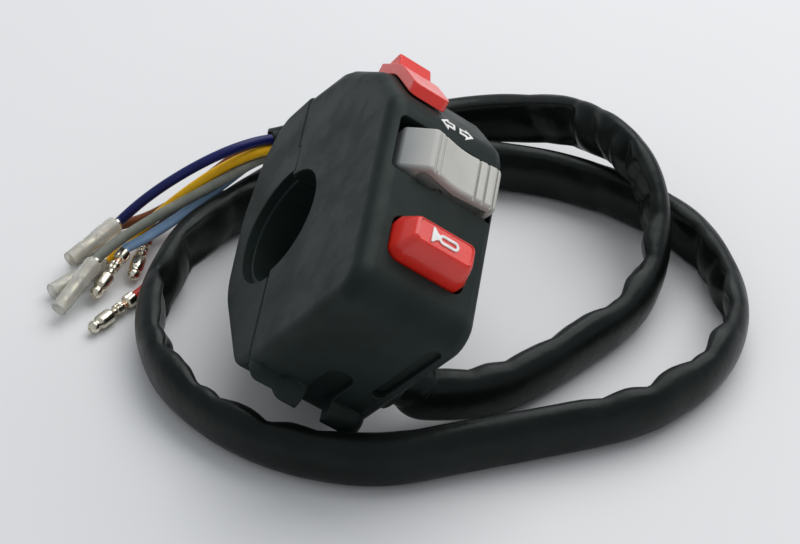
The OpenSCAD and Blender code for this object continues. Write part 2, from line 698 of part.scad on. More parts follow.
// Light slider: foot that follows the shell, thumb lug and a stem through the slot
module light_slider() {
  color(cap_red) union() {
    intersection() {
      along_bar(0, body_len) difference() {
        polygon(rounded(inset(front_corners, -run_gap - foot_t)));
        polygon(rounded(inset(front_corners, -run_gap)));
      }
      at_slider() translate([0, (foot_y[0] + foot_y[1]) / 2, -8])
        pad([slider_len, foot_y[1] - foot_y[0], 20], 1.6);
    }
    at_slider() translate([-lug_len / 2, 0, 0]) loft(end_rings(lug_corners, 0.4, lug_len));
    at_slider() translate([0, 0, carriage_z - carriage[2]])
      pad([slot_stem[0], slot_stem[1], 1.5 - carriage_z + carriage[2]], 0.5);
  }
}
module slider_carriage() {
  color(inner_black) at_slider() difference() {
    translate([0, 0, carriage_z - carriage[2]]) pad(carriage, 0.8);
    translate([0, 0, carriage_z - carriage[2] - 1]) pad([slot_stem[0] + 0.04, slot_stem[1] + 0.04, 8], 0.5);
    translate([ball_x, 0, carriage_z - carriage[2] - 1]) cylinder(h = 3.4, r = ball_r + 0.1);
  }
}
module slider_ball() {
  color(steel) at_slider() translate([ball_x, 0, light_floor_z + run_gap + ball_r])
    sphere(r = ball_r, $fn = 32);
}
module slider_spring() {
  base = light_floor_z + run_gap + 2 * ball_r;
  color(steel) at_slider() translate([ball_x, 0, base])
    coil(0.75, 0.26, 2, carriage_z - carriage[2] + 2.4 - base);
}
module slider_bridge() {
  low = light_floor_z + 0.1 + run_gap;
  top = carriage_z - carriage[2];
  color(copper) at_slider() {
    translate([pad_x(1) - 0.9, -1.6, top - 0.5]) cube([slider_travel + 1.8, 3.2, 0.5]);
    for (k = [0, 1]) translate([pad_x(k + 1), 0, low]) cylinder(h = top - low - 0.3, r = contact_r + 0.05);
  }
}
module light_base() {
  rail_y = carriage[1] / 2 + run_gap;
  centre = mid_x - slot_x;
  color(inner_black) at_slot() difference() {
    union() {
      translate([centre, 0, light_floor_z - light_floor_t])
        pad([2 * inner_x - 1, 2 * rail_y + 3, light_floor_t], 1);
      for (s = [-1, 1]) translate([centre, s * (rail_y + 0.75), light_floor_z - light_floor_t])
        pad([2 * inner_x - 1, 1.5, carriage_z - 1.1 - light_floor_z + light_floor_t], 0.5);
      light_screw_places() translate([0, -1.2, light_floor_z - light_floor_t])
        pad([4.4, 6.6, light_floor_t], 1.4);
    }
    light_screw_places() translate([0, 0, light_floor_z - 5]) cylinder(h = 8, r = 1.1);
    light_screw_places() translate([0, 0, light_floor_z]) cylinder(h = 20, r = 2.3);
    for (k = [-1:1]) translate([ball_x + k * slider_travel, -2, light_floor_z + 0.9]) rotate([-90, 0, 0])
      cylinder(h = 4, r = 1.1);
    for (k = [0:3]) translate([pad_x(k), 0, light_floor_z - 5]) cylinder(h = 8, r = contact_r);
  }
}
module light_contacts() {
  color(copper) at_slot() for (k = [0:3]) translate([pad_x(k), 0, light_floor_z - light_floor_t - 2])
    cylinder(h = light_floor_t + 2.1, r = contact_r);
}

// Turn arrows: outlined pair on the rounded edge above the rocker, a thin print that follows the shell
module arrow_outline() {
  difference() {
    polygon([[-1.6, 0], [0.1, 1.5], [0.1, 0.75], [1.5, 0.75], [1.5, -0.75], [0.1, -0.75], [0.1, -1.5]]);
    polygon([[-0.9, 0], [-0.25, 0.6], [-0.25, 0.3], [1.1, 0.3], [1.1, -0.3], [-0.25, -0.3], [-0.25, -0.6]]);
  }
}
module turn_arrows() {
  color(mark_white) intersection() {
    along_bar(0, body_len) difference() {
      polygon(rounded(inset(front_corners, -0.15)));
      polygon(rounded(front_corners));
    }
    translate([mid_x + 1.1, rock_y + pocket_half + 2.8, face - 3]) rotate([-18, 0, 0])
      linear_extrude(height = 6)
      for (s = [-1, 1]) translate([s * 2, 0]) mirror([s > 0 ? 1 : 0, 0]) arrow_outline();
  }
}

// Cable: gland, sleeve, leads and terminals
module cable_gland() {
  color(inner_black) translate(gland_at) rotate([0, 90, 0]) difference() {
    union() {
      translate([0, 0, -wall - gland_lip]) cylinder(h = wall + 2 * gland_lip, r = gland_r);
      cylinder(h = gland_lip, r = gland_r + 1.2);
      translate([0, 0, -wall - gland_lip]) cylinder(h = gland_lip, r = gland_r + 0.5);
    }
    translate([0, 0, -wall - gland_lip - 1]) cylinder(h = wall + gland_lip + 1.2, r = 3);
  }
}
module sleeve() {
  ease = [for (i = [0:len(sleeve_path) - 1]) min(i / 5, 1)];
  color(inner_black) on_table() tube(sleeve_path,
    [for (e = ease) sleeve_d / 2 * (1 - e) + sleeve_half_w * e],
    [for (e = ease) sleeve_d / 2 * (1 - e) + sleeve_half_h * e], sleeve_sides);
}
module lead(route, tip, tint) {
  last = len(route) - 1;
  into = [for (d = [3, 1.5, 0]) route[last] - d * unit(tip - route[last])];
  path = smooth(concat([for (i = [0:last - 1]) route[i]], into), 3);
  r = [for (p = path) lead_d / 2];
  color(tint) on_table() tube(path, r, r, 8);
}
module towards(p, q) {
  d = q - p;
  translate(p) rotate([0, acos(d.z / norm(d)), atan2(d.y, d.x)]) children();
}
module bullet(route, tip) {
  crimp = 0.42 * bullet_len;
  color(steel) on_table() towards(route[len(route) - 1], tip) rotate_extrude($fn = 24)
    polygon([[0, 0], [lead_d / 2 + 0.2, 0], [lead_d / 2 + 0.2, crimp - 0.8], [0.8, crimp], [0.8, crimp + 0.8],
      [bullet_r, crimp + 1.4], [bullet_r, bullet_len - 2.6], [1.05, bullet_len - 2], [1.05, bullet_len - 1.6],
      [1.25, bullet_len - 1.2], [0.6, bullet_len], [0, bullet_len]]);
}
module boot(route, tip) {
  color([0.88, 0.88, 0.84, 0.6]) on_table() towards(route[len(route) - 1], tip) rotate_extrude($fn = 24)
    polygon([[bullet_r + 0.05, 0.6], [boot_r, 0.6], [boot_r, boot_len * 0.45], [boot_r - 0.2, boot_len * 0.5],
      [boot_r - 0.2, boot_len], [bullet_r + 0.05, boot_len]]);
}
module navy_lead() { lead(navy_route, navy_tip, [0.06, 0.07, 0.4]); }
module yellow_lead() { lead(yellow_route, yellow_tip, [0.95, 0.66, 0.05]); }
module grey_lead() { lead(grey_route, grey_tip, [0.5, 0.52, 0.48]); }
module sky_lead() { lead(sky_route, sky_tip, [0.45, 0.6, 0.8]); }
module brown_lead() { lead(brown_route, brown_tip, [0.45, 0.22, 0.08]); }
module black_lead() { lead(black_route, black_tip, [0.06, 0.06, 0.06]); }
module red_lead() { lead(red_route, red_tip, [0.7, 0.1, 0.08]); }
module navy_bullet() { bullet(navy_route, navy_tip); }
module yellow_bullet() { bullet(yellow_route, yellow_tip); }
module grey_bullet() { bullet(grey_route, grey_tip); }
module sky_bullet() { bullet(sky_route, sky_tip); }
module brown_bullet() { bullet(brown_route, brown_tip); }
module black_bullet() { bullet(black_route, black_tip); }
module red_bullet() { bullet(red_route, red_tip); }
module navy_boot() { boot(navy_route, navy_tip); }
module yellow_boot() { boot(yellow_route, yellow_tip); }
module grey_boot() { boot(grey_route, grey_tip); }

laid() front_housing();
laid() rear_housing();
laid() clamp_screws();
laid() screw_inserts();
laid() base_screws();
laid() turn_rocker();
laid() rocker_pin();
laid() rocker_plunger();
laid() rocker_spring();
laid() turn_base();
laid() turn_contacts();
laid() turn_arrows();
laid() horn_button();
laid() horn_symbol();
laid() horn_spring();
laid() horn_contact_disc();
laid() horn_clip();
laid() horn_base();
laid() horn_contacts();
laid() light_slider();
laid() slider_carriage();
laid() slider_ball();
laid() slider_spring();
laid() slider_bridge();
laid() light_base();
laid() light_contacts();
laid() cable_gland();
sleeve();
navy_lead();
yellow_lead();
grey_lead();
sky_lead();
brown_lead();
black_lead();
red_lead();
navy_bullet();
yellow_bullet();
grey_bullet();
sky_bullet();
brown_bullet();
black_bullet();
red_bullet();
navy_boot();
yellow_boot();
grey_boot();
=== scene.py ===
# Handlebar switch cluster on a pale table: finishes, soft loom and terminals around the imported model.
import math
import bmesh
import bpy
from mathutils import Matrix, Vector
from mathutils.bvhtree import BVHTree


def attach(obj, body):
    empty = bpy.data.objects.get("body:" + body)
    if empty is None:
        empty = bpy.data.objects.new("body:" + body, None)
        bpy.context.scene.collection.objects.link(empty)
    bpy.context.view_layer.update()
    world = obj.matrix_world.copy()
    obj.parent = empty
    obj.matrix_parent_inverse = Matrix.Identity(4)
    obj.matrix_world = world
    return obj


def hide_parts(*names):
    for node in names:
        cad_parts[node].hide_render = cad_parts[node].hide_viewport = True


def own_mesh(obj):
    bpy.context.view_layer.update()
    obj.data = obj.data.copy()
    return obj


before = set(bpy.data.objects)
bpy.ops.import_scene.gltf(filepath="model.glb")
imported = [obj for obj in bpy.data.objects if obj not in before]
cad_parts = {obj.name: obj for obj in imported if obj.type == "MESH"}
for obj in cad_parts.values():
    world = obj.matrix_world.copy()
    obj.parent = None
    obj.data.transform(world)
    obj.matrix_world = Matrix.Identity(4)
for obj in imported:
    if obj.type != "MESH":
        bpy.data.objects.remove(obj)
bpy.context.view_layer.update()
scene = bpy.context.scene
scene.view_settings.view_transform = "Standard"
MM = 0.001
UP = Vector((0, 0, 1))


# ---------------------------------------------------------------- camera, fitted to the photo
CAMERA_LENS = 108.9
CAMERA_AT = Vector((0.32, -343.15, 298.8))
CAMERA_LOOKS = Vector((0.01464, 0.77537, -0.63134))


def add_camera():
    data = bpy.data.cameras.new("camera")
    data.sensor_fit = "HORIZONTAL"
    data.sensor_width = 36
    data.lens = CAMERA_LENS
    camera = bpy.data.objects.new("camera", data)
    camera.location = CAMERA_AT * MM
    camera.rotation_euler = CAMERA_LOOKS.to_track_quat("-Z", "Y").to_euler()
    scene.collection.objects.link(camera)
    scene.camera = camera


add_camera()


# ---------------------------------------------------------------- routes, as on the bench, in millimetres
# How the part lies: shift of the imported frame, height of the bore's axis, dip of the bar, roll of the housing
SET_DOWN = Vector((14.88, -3.35, 0))
BORE_HEIGHT = 28.4697
DIP = math.radians(37)
ROLL = math.radians(17)
LAY = Matrix.Rotation(DIP, 3, "Y") @ Matrix.Rotation(ROLL, 3, "X")
# Where the sleeve leaves the housing, along the housing's own axes
GLAND = (25, -23, 6.2)
GLAND_LIP = 1.5
# Sleeve: radius where it is round, half width and half height where it is pressed flat
SLEEVE_ROUND = 4.5
SLEEVE_HALF_W = 3.402
SLEEVE_HALF_H = 5.4
LEAD_D = 2.0


def on_bench(x, y, z):
    """A point given along the housing's own axes, as it lies on the bench."""
    return LAY @ Vector((x, y, z)) + Vector((0, 0, BORE_HEIGHT))


def placed(p):
    """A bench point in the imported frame, in metres."""
    return (Vector(p) - SET_DOWN) * MM


SLEEVE_START = [on_bench(GLAND[0] + GLAND_LIP + d, GLAND[1], GLAND[2]) for d in (0, 3.5, 7)]
SLEEVE_ON_TABLE = (
    (37, -21, 6), (47, -15, 5.6), (63, -0.5, 5.8), (68.5, 9, 6.6), (71, 18.5, 9.5), (70.6, 27, 14),
    (67.6, 34.5, 17), (63, 43.5, 16), (57, 53, 12.5), (49.5, 59, 9), (41, 62, 7), (31, 61.5, 6),
    (19, 57, 5.6), (7, 50, 5.6), (-7.5, 36.5, 5.6), (-18, 25, 5.6), (-22.5, 14, 5.6), (-24.5, 3.5, 5.6),
    (-23.5, -7, 5.6), (-19, -18, 5.6), (-9, -29, 5.6), (3.5, -36, 5.6), (17.5, -38.5, 5.6),
    (32, -35.5, 5.6), (60.5, -28, 5.6), (72, -21, 5.6), (80, -12, 5.6), (84, -1, 5.6), (83.5, 10.5, 5.6),
    (79, 24, 5.6), (69, 35, 5.6), (55, 43.5, 5.6), (41, 47.5, 5.8), (28, 48, 7.4), (16, 46, 11.5),
    (6, 43, 15.5), (-3, 40.5, 16.2))
SLEEVE_ROUTE = SLEEVE_START + [Vector(p) for p in SLEEVE_ON_TABLE]

# Each lead: its place in the sleeve's mouth, its route and the tip of its terminal
LEADS = {
    "navy": (
        (1, 2.4),
        ((-11, 35.2, 19.5), (-17, 33.4, 17.2), (-24.5, 32.6, 12.6), (-29.6, 31.6, 8.6), (-33.3, 29.4, 6)),
        (-43.1, 18.3, 4.4)),
    "yellow": (
        (1.7, 0.35),
        ((-11, 35.8, 16.1), (-18, 34, 11.6), (-23, 32.6, 8.2), (-27, 29.8, 5.8), (-31.5, 26, 3.8),
         (-35.5, 22.2, 2.2)),
        (-43.7, 14.5, 2)),
    "grey": (
        (1.35, -1.65),
        ((-11, 34.2, 13.5), (-18, 30.6, 11.4), (-24, 28.4, 9.4), (-30.7, 24, 8), (-36.6, 17.8, 5.8)),
        (-42.8, 7.4, 2.9)),
    "sky": (
        (-0.4, -2.4),
        ((-12, 35, 11.2), (-19, 31.2, 7.8), (-24.5, 27.2, 6), (-28.4, 24.4, 5.1), (-31.5, 22, 4.6)),
        (-37.6, 10.1, 1.7)),
    "brown": (
        (-1, 0.7),
        ((-12, 38.7, 14), (-20, 36.2, 7.1), (-26, 35.2, 3.4), (-31, 34.8, 1.8), (-34.9, 33.1, 1.6)),
        (-43.1, 21.7, 1.5)),
    "black": (
        (-0.3, -0.25),
        ((-12, 40.4, 12), (-19, 37.5, 5.4), (-24, 33.3, 2.8), (-26.6, 31, 2.4), (-27.7, 29.2, 2.3)),
        (-30.3, 14.6, 1.6)),
    "red": (
        (-2.1, -1.2),
        ((-9.5, 42.6, 9.2), (-14, 41.4, 5.2), (-19.5, 36, 2.2), (-24, 27, 1.2), (-25.2, 20, 1.2),
         (-26.8, 14.8, 1.2), (-29.3, 11.6, 1.6)),
        (-36.3, 2.8, 1.6)),
}
BOOTED = ("navy", "yellow", "grey")


def spline_at(a, b, c, d, t):
    """A point between b and c on a smooth run through all four."""
    square = (2 * a - 5 * b + 4 * c - d) * t * t
    cube = (3 * b - a - 3 * c + d) * t ** 3
    return 0.5 * (2 * b + (c - a) * t + square + cube)


def smooth(points, steps):
    """A smooth run through the points."""
    last = len(points) - 1
    curve = []
    for i in range(last):
        a, d = points[max(i - 1, 0)], points[min(i + 2, last)]
        curve += [spline_at(a, points[i], points[i + 1], d, k / steps) for k in range(steps)]
    return curve + [points[last].copy()]


def relaxed(points, passes, held):
    """The same run with its kinks eased; the held points at the far end stay."""
    run = [p.copy() for p in points]
    for _ in range(passes):
        eased = [(run[i - 1] + run[i] * 2 + run[i + 1]) / 4 for i in range(1, len(run) - 1 - held)]
        run[1:len(run) - 1 - held] = eased
    return run


def heading(points, i):
    """Direction of a run at one of its points."""
    return (points[min(i + 1, len(points) - 1)] - points[max(i - 1, 0)]).normalized()


def cross_axes(way):
    """The two directions across a run: sideways and upwards."""
    side = UP.cross(way).normalized()
    return side, way.cross(side)


def run_length(points):
    return sum((q - p).length for p, q in zip(points, points[1:]))


MOUTH = SLEEVE_ROUTE[-1]
MOUTH_WAY = heading(smooth(SLEEVE_ROUTE, 2), 2 * (len(SLEEVE_ROUTE) - 1))
MOUTH_SIDE, MOUTH_UP = cross_axes(MOUTH_WAY)


def from_mouth(across, above, depth):
    """A point by its place in the sleeve's mouth and how far out of it."""
    return MOUTH + MOUTH_SIDE * across + MOUTH_UP * above + MOUTH_WAY * depth


# ---------------------------------------------------------------- shader helpers and shared effects
def new_group(name, inputs, outputs):
    group = bpy.data.node_groups.new(name, "ShaderNodeTree")
    for label, kind, value in inputs:
        socket = group.interface.new_socket(name=label, in_out="INPUT", socket_type=kind)
        if value is not None:
            socket.default_value = value
    for label, kind in outputs:
        group.interface.new_socket(name=label, in_out="OUTPUT", socket_type=kind)
    return group, group.nodes.new("NodeGroupInput"), group.nodes.new("NodeGroupOutput")


def math_node(tree, kind, a, b=None, clamp=False):
    node = tree.nodes.new("ShaderNodeMath")
    node.operation = kind
    node.use_clamp = clamp
    for socket, value in zip(node.inputs, (a, b)):
        if value is None:
            continue
        if isinstance(value, (int, float)):
            socket.default_value = value
        else:
            tree.links.new(value, socket)
    return node.outputs[0]


def noise_node(tree, position, scale, detail=3.0, rough=0.55):
    node = tree.nodes.new("ShaderNodeTexNoise")
    node.inputs["Detail"].default_value = detail
    node.inputs["Roughness"].default_value = rough
    tree.links.new(position, node.inputs["Vector"])
    if isinstance(scale, (int, float)):
        node.inputs["Scale"].default_value = scale
    else:
        tree.links.new(scale, node.inputs["Scale"])
    return node.outputs[0]


def remap(tree, value, low, high, to_low=0.0, to_high=1.0):
    node = tree.nodes.new("ShaderNodeMapRange")
    node.interpolation_type = "SMOOTHSTEP"
    for label, number in (("From Min", low), ("From Max", high), ("To Min", to_low), ("To Max", to_high)):
        node.inputs[label].default_value = number
    tree.links.new(value, node.inputs["Value"])
    return node.outputs["Result"]


def mix_colour(tree, factor, a, b):
    node = tree.nodes.new("ShaderNodeMix")
    node.data_type = "RGBA"
    for socket, value in ((node.inputs[0], factor), (node.inputs[6], a), (node.inputs[7], b)):
        if isinstance(value, tuple):
            socket.default_value = value if len(value) == 4 else value + (1.0,)
        elif isinstance(value, (int, float)):
            socket.default_value = value
        else:
            tree.links.new(value, socket)
    return node.outputs[2]


def build_moulded_grain():
    """Fine spark-eroded texture of moulded plastic, with soft cloudy patches."""
    group, took, gave = new_group(
        "moulded_grain",
        [("Position", "NodeSocketVector", None), ("Grain Scale", "NodeSocketFloat", 2600.0)],
        [("Height", "NodeSocketFloat"), ("Cloud", "NodeSocketFloat")])
    place, scale = took.outputs["Position"], took.outputs["Grain Scale"]
    fine = noise_node(group, place, scale, 2.0, 0.6)
    coarse = noise_node(group, place, math_node(group, "MULTIPLY", scale, 0.35), 2.0, 0.5)
    most, rest = math_node(group, "MULTIPLY", fine, 0.7), math_node(group, "MULTIPLY", coarse, 0.3)
    height = math_node(group, "ADD", most, rest)
    cloud = remap(group, noise_node(group, place, 70.0, 4.0, 0.6), 0.35, 0.68)
    group.links.new(height, gave.inputs["Height"])
    group.links.new(cloud, gave.inputs["Cloud"])
    return group


def build_edge_wear():
    """Mask of rubbed edges: the piece's own edge attribute broken up by patches."""
    group, took, gave = new_group(
        "edge_wear",
        [("Position", "NodeSocketVector", None), ("Edge", "NodeSocketFloat", 0.0),
         ("Amount", "NodeSocketFloat", 0.6)],
        [("Mask", "NodeSocketFloat")])
    patches = remap(group, noise_node(group, took.outputs["Position"], 160.0, 4.0, 0.65), 0.36, 0.66)
    rubbed = math_node(group, "MULTIPLY", took.outputs["Edge"], patches)
    mask = math_node(group, "MULTIPLY", rubbed, took.outputs["Amount"], clamp=True)
    group.links.new(mask, gave.inputs["Mask"])
    return group


def build_handling():
    """Smears of handling that change the gloss, with a few faint scratches."""
    group, took, gave = new_group(
        "handling",
        [("Position", "NodeSocketVector", None), ("Smear Scale", "NodeSocketFloat", 120.0)],
        [("Smear", "NodeSocketFloat"), ("Scratch", "NodeSocketFloat")])
    place = took.outputs["Position"]
    smear = remap(group, noise_node(group, place, took.outputs["Smear Scale"], 5.0, 0.62), 0.3, 0.72)
    stretch = group.nodes.new("ShaderNodeMapping")
    stretch.inputs["Scale"].default_value = (60.0, 900.0, 300.0)
    stretch.inputs["Rotation"].default_value = (0.3, 0.5, 0.8)
    group.links.new(place, stretch.inputs["Vector"])
    scratch = remap(group, noise_node(group, stretch.outputs["Vector"], 1.0, 1.0, 0.4), 0.7, 0.76)
    group.links.new(smear, gave.inputs["Smear"])
    group.links.new(scratch, gave.inputs["Scratch"])
    return group


MOULDED_GRAIN = build_moulded_grain()
EDGE_WEAR = build_edge_wear()
HANDLING = build_handling()


class Finish:
    """One material: its tree, its shader and the shared effects placed in it."""

    def __init__(self, name, roughness, metallic=0.0, specular=0.5):
        self.material = bpy.data.materials.new(name)
        self.material.use_nodes = True
        self.tree = self.material.node_tree
        self.shader = self.tree.nodes["Principled BSDF"]
        self.shader.inputs["Roughness"].default_value = roughness
        self.shader.inputs["Metallic"].default_value = metallic
        self.shader.inputs["Specular IOR Level"].default_value = specular
        self.place = self.tree.nodes.new("ShaderNodeTexCoord").outputs["Object"]

    def effect(self, group, **values):
        node = self.tree.nodes.new("ShaderNodeGroup")
        node.node_tree = group
        self.tree.links.new(self.place, node.inputs["Position"])
        for label, value in values.items():
            socket = node.inputs[label.replace("_", " ")]
            if isinstance(value, (int, float)):
                socket.default_value = value
            else:
                self.tree.links.new(value, socket)
        return node.outputs

    def attribute(self, name):
        node = self.tree.nodes.new("ShaderNodeAttribute")
        node.attribute_name = name
        return node.outputs["Fac"]

    def feed(self, label, value):
        self.tree.links.new(value, self.shader.inputs[label])

    def bump(self, height, strength, distance):
        node = self.tree.nodes.new("ShaderNodeBump")
        node.inputs["Strength"].default_value = strength
        node.inputs["Distance"].default_value = distance
        self.tree.links.new(height, node.inputs["Height"])
        self.feed("Normal", node.outputs["Normal"])

    def set(self, label, value):
        self.shader.inputs[label].default_value = value


def moulded(name, dark, light, roughness, grain, bump, wear=0.5, worn=None, specular=0.5):
    """Moulded plastic: grain bump, cloudy colour, rubbed edges and smeared gloss."""
    f = Finish(name, roughness, specular=specular)
    texture = f.effect(MOULDED_GRAIN, Grain_Scale=grain)
    wear_mask = f.effect(EDGE_WEAR, Edge=f.attribute("edge"), Amount=wear)["Mask"]
    marks = f.effect(HANDLING)
    colour = mix_colour(f.tree, texture["Cloud"], dark, light)
    colour = mix_colour(f.tree, wear_mask, colour, worn or light)
    f.feed("Base Color", colour)
    gloss = remap(f.tree, marks["Smear"], 0.0, 1.0, roughness - 0.06, roughness + 0.06)
    f.feed("Roughness", math_node(f.tree, "SUBTRACT", gloss, math_node(f.tree, "MULTIPLY", wear_mask, 0.12)))
    f.bump(texture["Height"], bump, 0.00012)
    return f


def shaded_end(f, near, far, tone):
    """A darker tone on the end by the grip, which is in shade in the photo; it fades out along the bar."""
    bar = LAY @ Vector((1, 0, 0))
    along = f.tree.nodes.new("ShaderNodeVectorMath")
    along.operation = "DOT_PRODUCT"
    along.inputs[1].default_value = bar
    f.tree.links.new(f.place, along.inputs[0])
    start, stop = (placed(on_bench(x, 0, 0)).dot(bar) for x in (near, far))
    mask = remap(f.tree, along.outputs["Value"], start, stop, 1.0, 0.0)
    clean = f.shader.inputs["Base Color"].links[0].from_socket
    f.feed("Base Color", mix_colour(f.tree, mask, clean, tone))


def plated(name, dark, light, roughness, scale=220.0):
    """Plated or turned metal: cloudy tarnish, fine scratches, gloss that varies."""
    f = Finish(name, roughness, metallic=1.0)
    marks = f.effect(HANDLING, Smear_Scale=scale)
    texture = f.effect(MOULDED_GRAIN, Grain_Scale=1800.0)
    f.feed("Base Color", mix_colour(f.tree, marks["Smear"], light, dark))
    gloss = remap(f.tree, marks["Smear"], 0.0, 1.0, roughness - 0.05, roughness + 0.1)
    scuffed = math_node(f.tree, "MULTIPLY", marks["Scratch"], 0.15)
    f.feed("Roughness", math_node(f.tree, "ADD", gloss, scuffed))
    f.bump(math_node(f.tree, "ADD", texture["Height"], marks["Scratch"]), 0.12, 0.00006)
    return f


def insulated(name, dark, light):
    """Wire insulation: smooth vinyl with soft dirt and a low sheen."""
    f = Finish(name, 0.38, specular=0.25)
    marks = f.effect(HANDLING, Smear_Scale=260.0)
    texture = f.effect(MOULDED_GRAIN, Grain_Scale=1500.0)
    f.feed("Base Color", mix_colour(f.tree, marks["Smear"], dark, light))
    f.feed("Roughness", remap(f.tree, texture["Cloud"], 0.0, 1.0, 0.32, 0.46))
    f.bump(texture["Height"], 0.15, 0.00008)
    return f


def soft_vinyl(name):
    """Thin shiny vinyl sleeve: cloudy black with soft dents, and a painted highlight that lightens its lit
    raised ridges.
    """
    f = Finish(name, 0.38, specular=0.2)
    f.set("Specular Tint", (0.88, 1.0, 0.95, 1))
    marks = f.effect(HANDLING, Smear_Scale=90.0)
    texture = f.effect(MOULDED_GRAIN, Grain_Scale=700.0)
    painted_highlight = f.attribute("painted_highlight")
    colour = mix_colour(f.tree, texture["Cloud"], (0.003, 0.0038, 0.0036), (0.006, 0.0076, 0.0072))
    # Painted highlight: the lit ridges and the glints at the creases are lightened in the colour itself
    colour = mix_colour(f.tree, math_node(f.tree, "MULTIPLY", painted_highlight, 0.5), colour, (0.035, 0.037, 0.036))
    f.feed("Base Color", colour)
    f.feed("Roughness", remap(f.tree, marks["Smear"], 0.0, 1.0, 0.28, 0.44))
    dents = math_node(f.tree, "MULTIPLY", noise_node(f.tree, f.place, 130.0, 3.0, 0.5), 3.0)
    f.bump(math_node(f.tree, "ADD", dents, texture["Height"]), 0.25, 0.0003)
    return f


def printed(name):
    """White print: slightly uneven ink, thin at places."""
    f = Finish(name, 0.45)
    marks = f.effect(HANDLING, Smear_Scale=700.0)
    f.feed("Base Color", mix_colour(f.tree, marks["Smear"], (0.9, 0.9, 0.87), (0.72, 0.72, 0.7)))
    f.feed("Roughness", remap(f.tree, marks["Smear"], 0.0, 1.0, 0.4, 0.55))
    texture = f.effect(MOULDED_GRAIN, Grain_Scale=3000.0)
    f.bump(texture["Height"], 0.2, 0.00008)
    return f


def milky(name):
    """Milky soft cover: cloudy, half clear, with a waxy surface."""
    f = Finish(name, 0.34, specular=0.5)
    texture = f.effect(MOULDED_GRAIN, Grain_Scale=900.0)
    clear = mix_colour(f.tree, texture["Cloud"], (0.93, 0.92, 0.86), (0.84, 0.82, 0.74))
    f.feed("Base Color", mix_colour(f.tree, f.attribute("band"), clear, (0.97, 0.96, 0.93)))
    f.feed("Roughness", remap(f.tree, texture["Cloud"], 0.0, 1.0, 0.14, 0.28))
    f.set("Transmission Weight", 0.72)
    f.set("IOR", 1.4)
    f.bump(texture["Height"], 0.25, 0.0001)
    return f


SHELL = moulded("shell_black", (0.007, 0.0115, 0.0105), (0.0105, 0.0165, 0.015), 0.5, 2600.0, 0.3, 0.5,
                (0.03, 0.038, 0.035), 0.2)
SHELL.set("Specular Tint", (0.86, 1.0, 0.94, 1))
INNER = moulded("inner_black", (0.015, 0.016, 0.016), (0.024, 0.025, 0.025), 0.5, 1800.0, 0.3)
GREY = moulded("rocker_grey", (0.46, 0.455, 0.42), (0.52, 0.51, 0.47), 0.42, 2200.0, 0.25, 0.5,
               (0.58, 0.57, 0.53))
shaded_end(GREY, 3.0, 10.0, (0.2, 0.21, 0.215))
RED = moulded("button_red", (0.74, 0.022, 0.012), (0.82, 0.03, 0.018), 0.3, 1500.0, 0.1, 0.3,
              (0.86, 0.14, 0.1))
RED.set("Coat Weight", 0.35)
RED.set("Coat Roughness", 0.08)
WHITE = printed("mark_white")
STEEL = plated("plated_steel", (0.42, 0.41, 0.39), (0.68, 0.67, 0.64), 0.26)
BRASS = plated("turned_brass", (0.55, 0.38, 0.16), (0.78, 0.62, 0.32), 0.28)
COPPER = plated("contact_copper", (0.55, 0.27, 0.14), (0.8, 0.47, 0.3), 0.3)
TINNED = plated("tinned_brass", (0.52, 0.47, 0.36), (0.86, 0.82, 0.7), 0.2, 420.0)
VINYL = soft_vinyl("sleeve_vinyl")
BOOT = milky("boot_milky")
INSULATION = {
    "navy": insulated("lead_navy", (0.006, 0.008, 0.075), (0.012, 0.016, 0.12)),
    "yellow": insulated("lead_yellow", (0.92, 0.46, 0.006), (0.98, 0.56, 0.012)),
    "grey": insulated("lead_grey", (0.17, 0.18, 0.15), (0.25, 0.26, 0.22)),
    "sky": insulated("lead_sky", (0.24, 0.4, 0.62), (0.32, 0.49, 0.72)),
    "brown": insulated("lead_brown", (0.13, 0.04, 0.015), (0.2, 0.065, 0.025)),
    "black": insulated("lead_black", (0.012, 0.012, 0.012), (0.025, 0.025, 0.025)),
    "red": insulated("lead_red", (0.4, 0.02, 0.015), (0.52, 0.035, 0.025)),
}


# ---------------------------------------------------------------- mesh helpers
def mesh_piece(name, points, faces, finish, smooth_faces=True):
    """A new object with one finish."""
    mesh = bpy.data.meshes.new(name)
    mesh.from_pydata([tuple(p) for p in points], [], faces)
    mesh.update()
    mesh.materials.append(finish.material)
    piece = bpy.data.objects.new(name, mesh)
    scene.collection.objects.link(piece)
    if smooth_faces:
        mesh.polygons.foreach_set("use_smooth", [True] * len(mesh.polygons))
    return piece


def ring_faces(rings, sides, capped=True):
    """Faces between rings of points, with caps at both ends or none."""
    faces = []
    for i in range(rings - 1):
        for k in range(sides):
            a, b = i * sides + k, i * sides + (k + 1) % sides
            faces.append((a, b, b + sides, a + sides))
    if capped:
        faces.append(tuple(range(sides - 1, -1, -1)))
        faces.append(tuple((rings - 1) * sides + k for k in range(sides)))
    return faces


def outward(piece):
    """Turns every face outwards."""
    form = bmesh.new()
    form.from_mesh(piece.data)
    bmesh.ops.recalc_face_normals(form, faces=form.faces)
    form.to_mesh(piece.data)
    form.free()


def stands_for(piece, node, body="housing_body"):
    """The piece is drawn in place of a node and moves with its body."""
    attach(piece, body)
    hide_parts(node)


# ---------------------------------------------------------------- sleeve
SLEEVE_STEPS = 15
SLEEVE_SIDES = 56
EASE_SEGMENTS = 2.5
MOUTH_DEPTH = 7.0
VINYL_WALL = 0.5
# Slow swells of the flat width: share, run over which the wave turns by one radian, start
SLACK_WAVES = ((0.035, 9.0, 0.0), (0.03, 23.0, 1.0))
# Inside of the open end: distance back from the rim, thickness of the wall there
MOUTH_LINING = ((0.0, 0.25), (0.15, VINYL_WALL), (2.5, VINYL_WALL), (MOUTH_DEPTH, VINYL_WALL + 0.2))


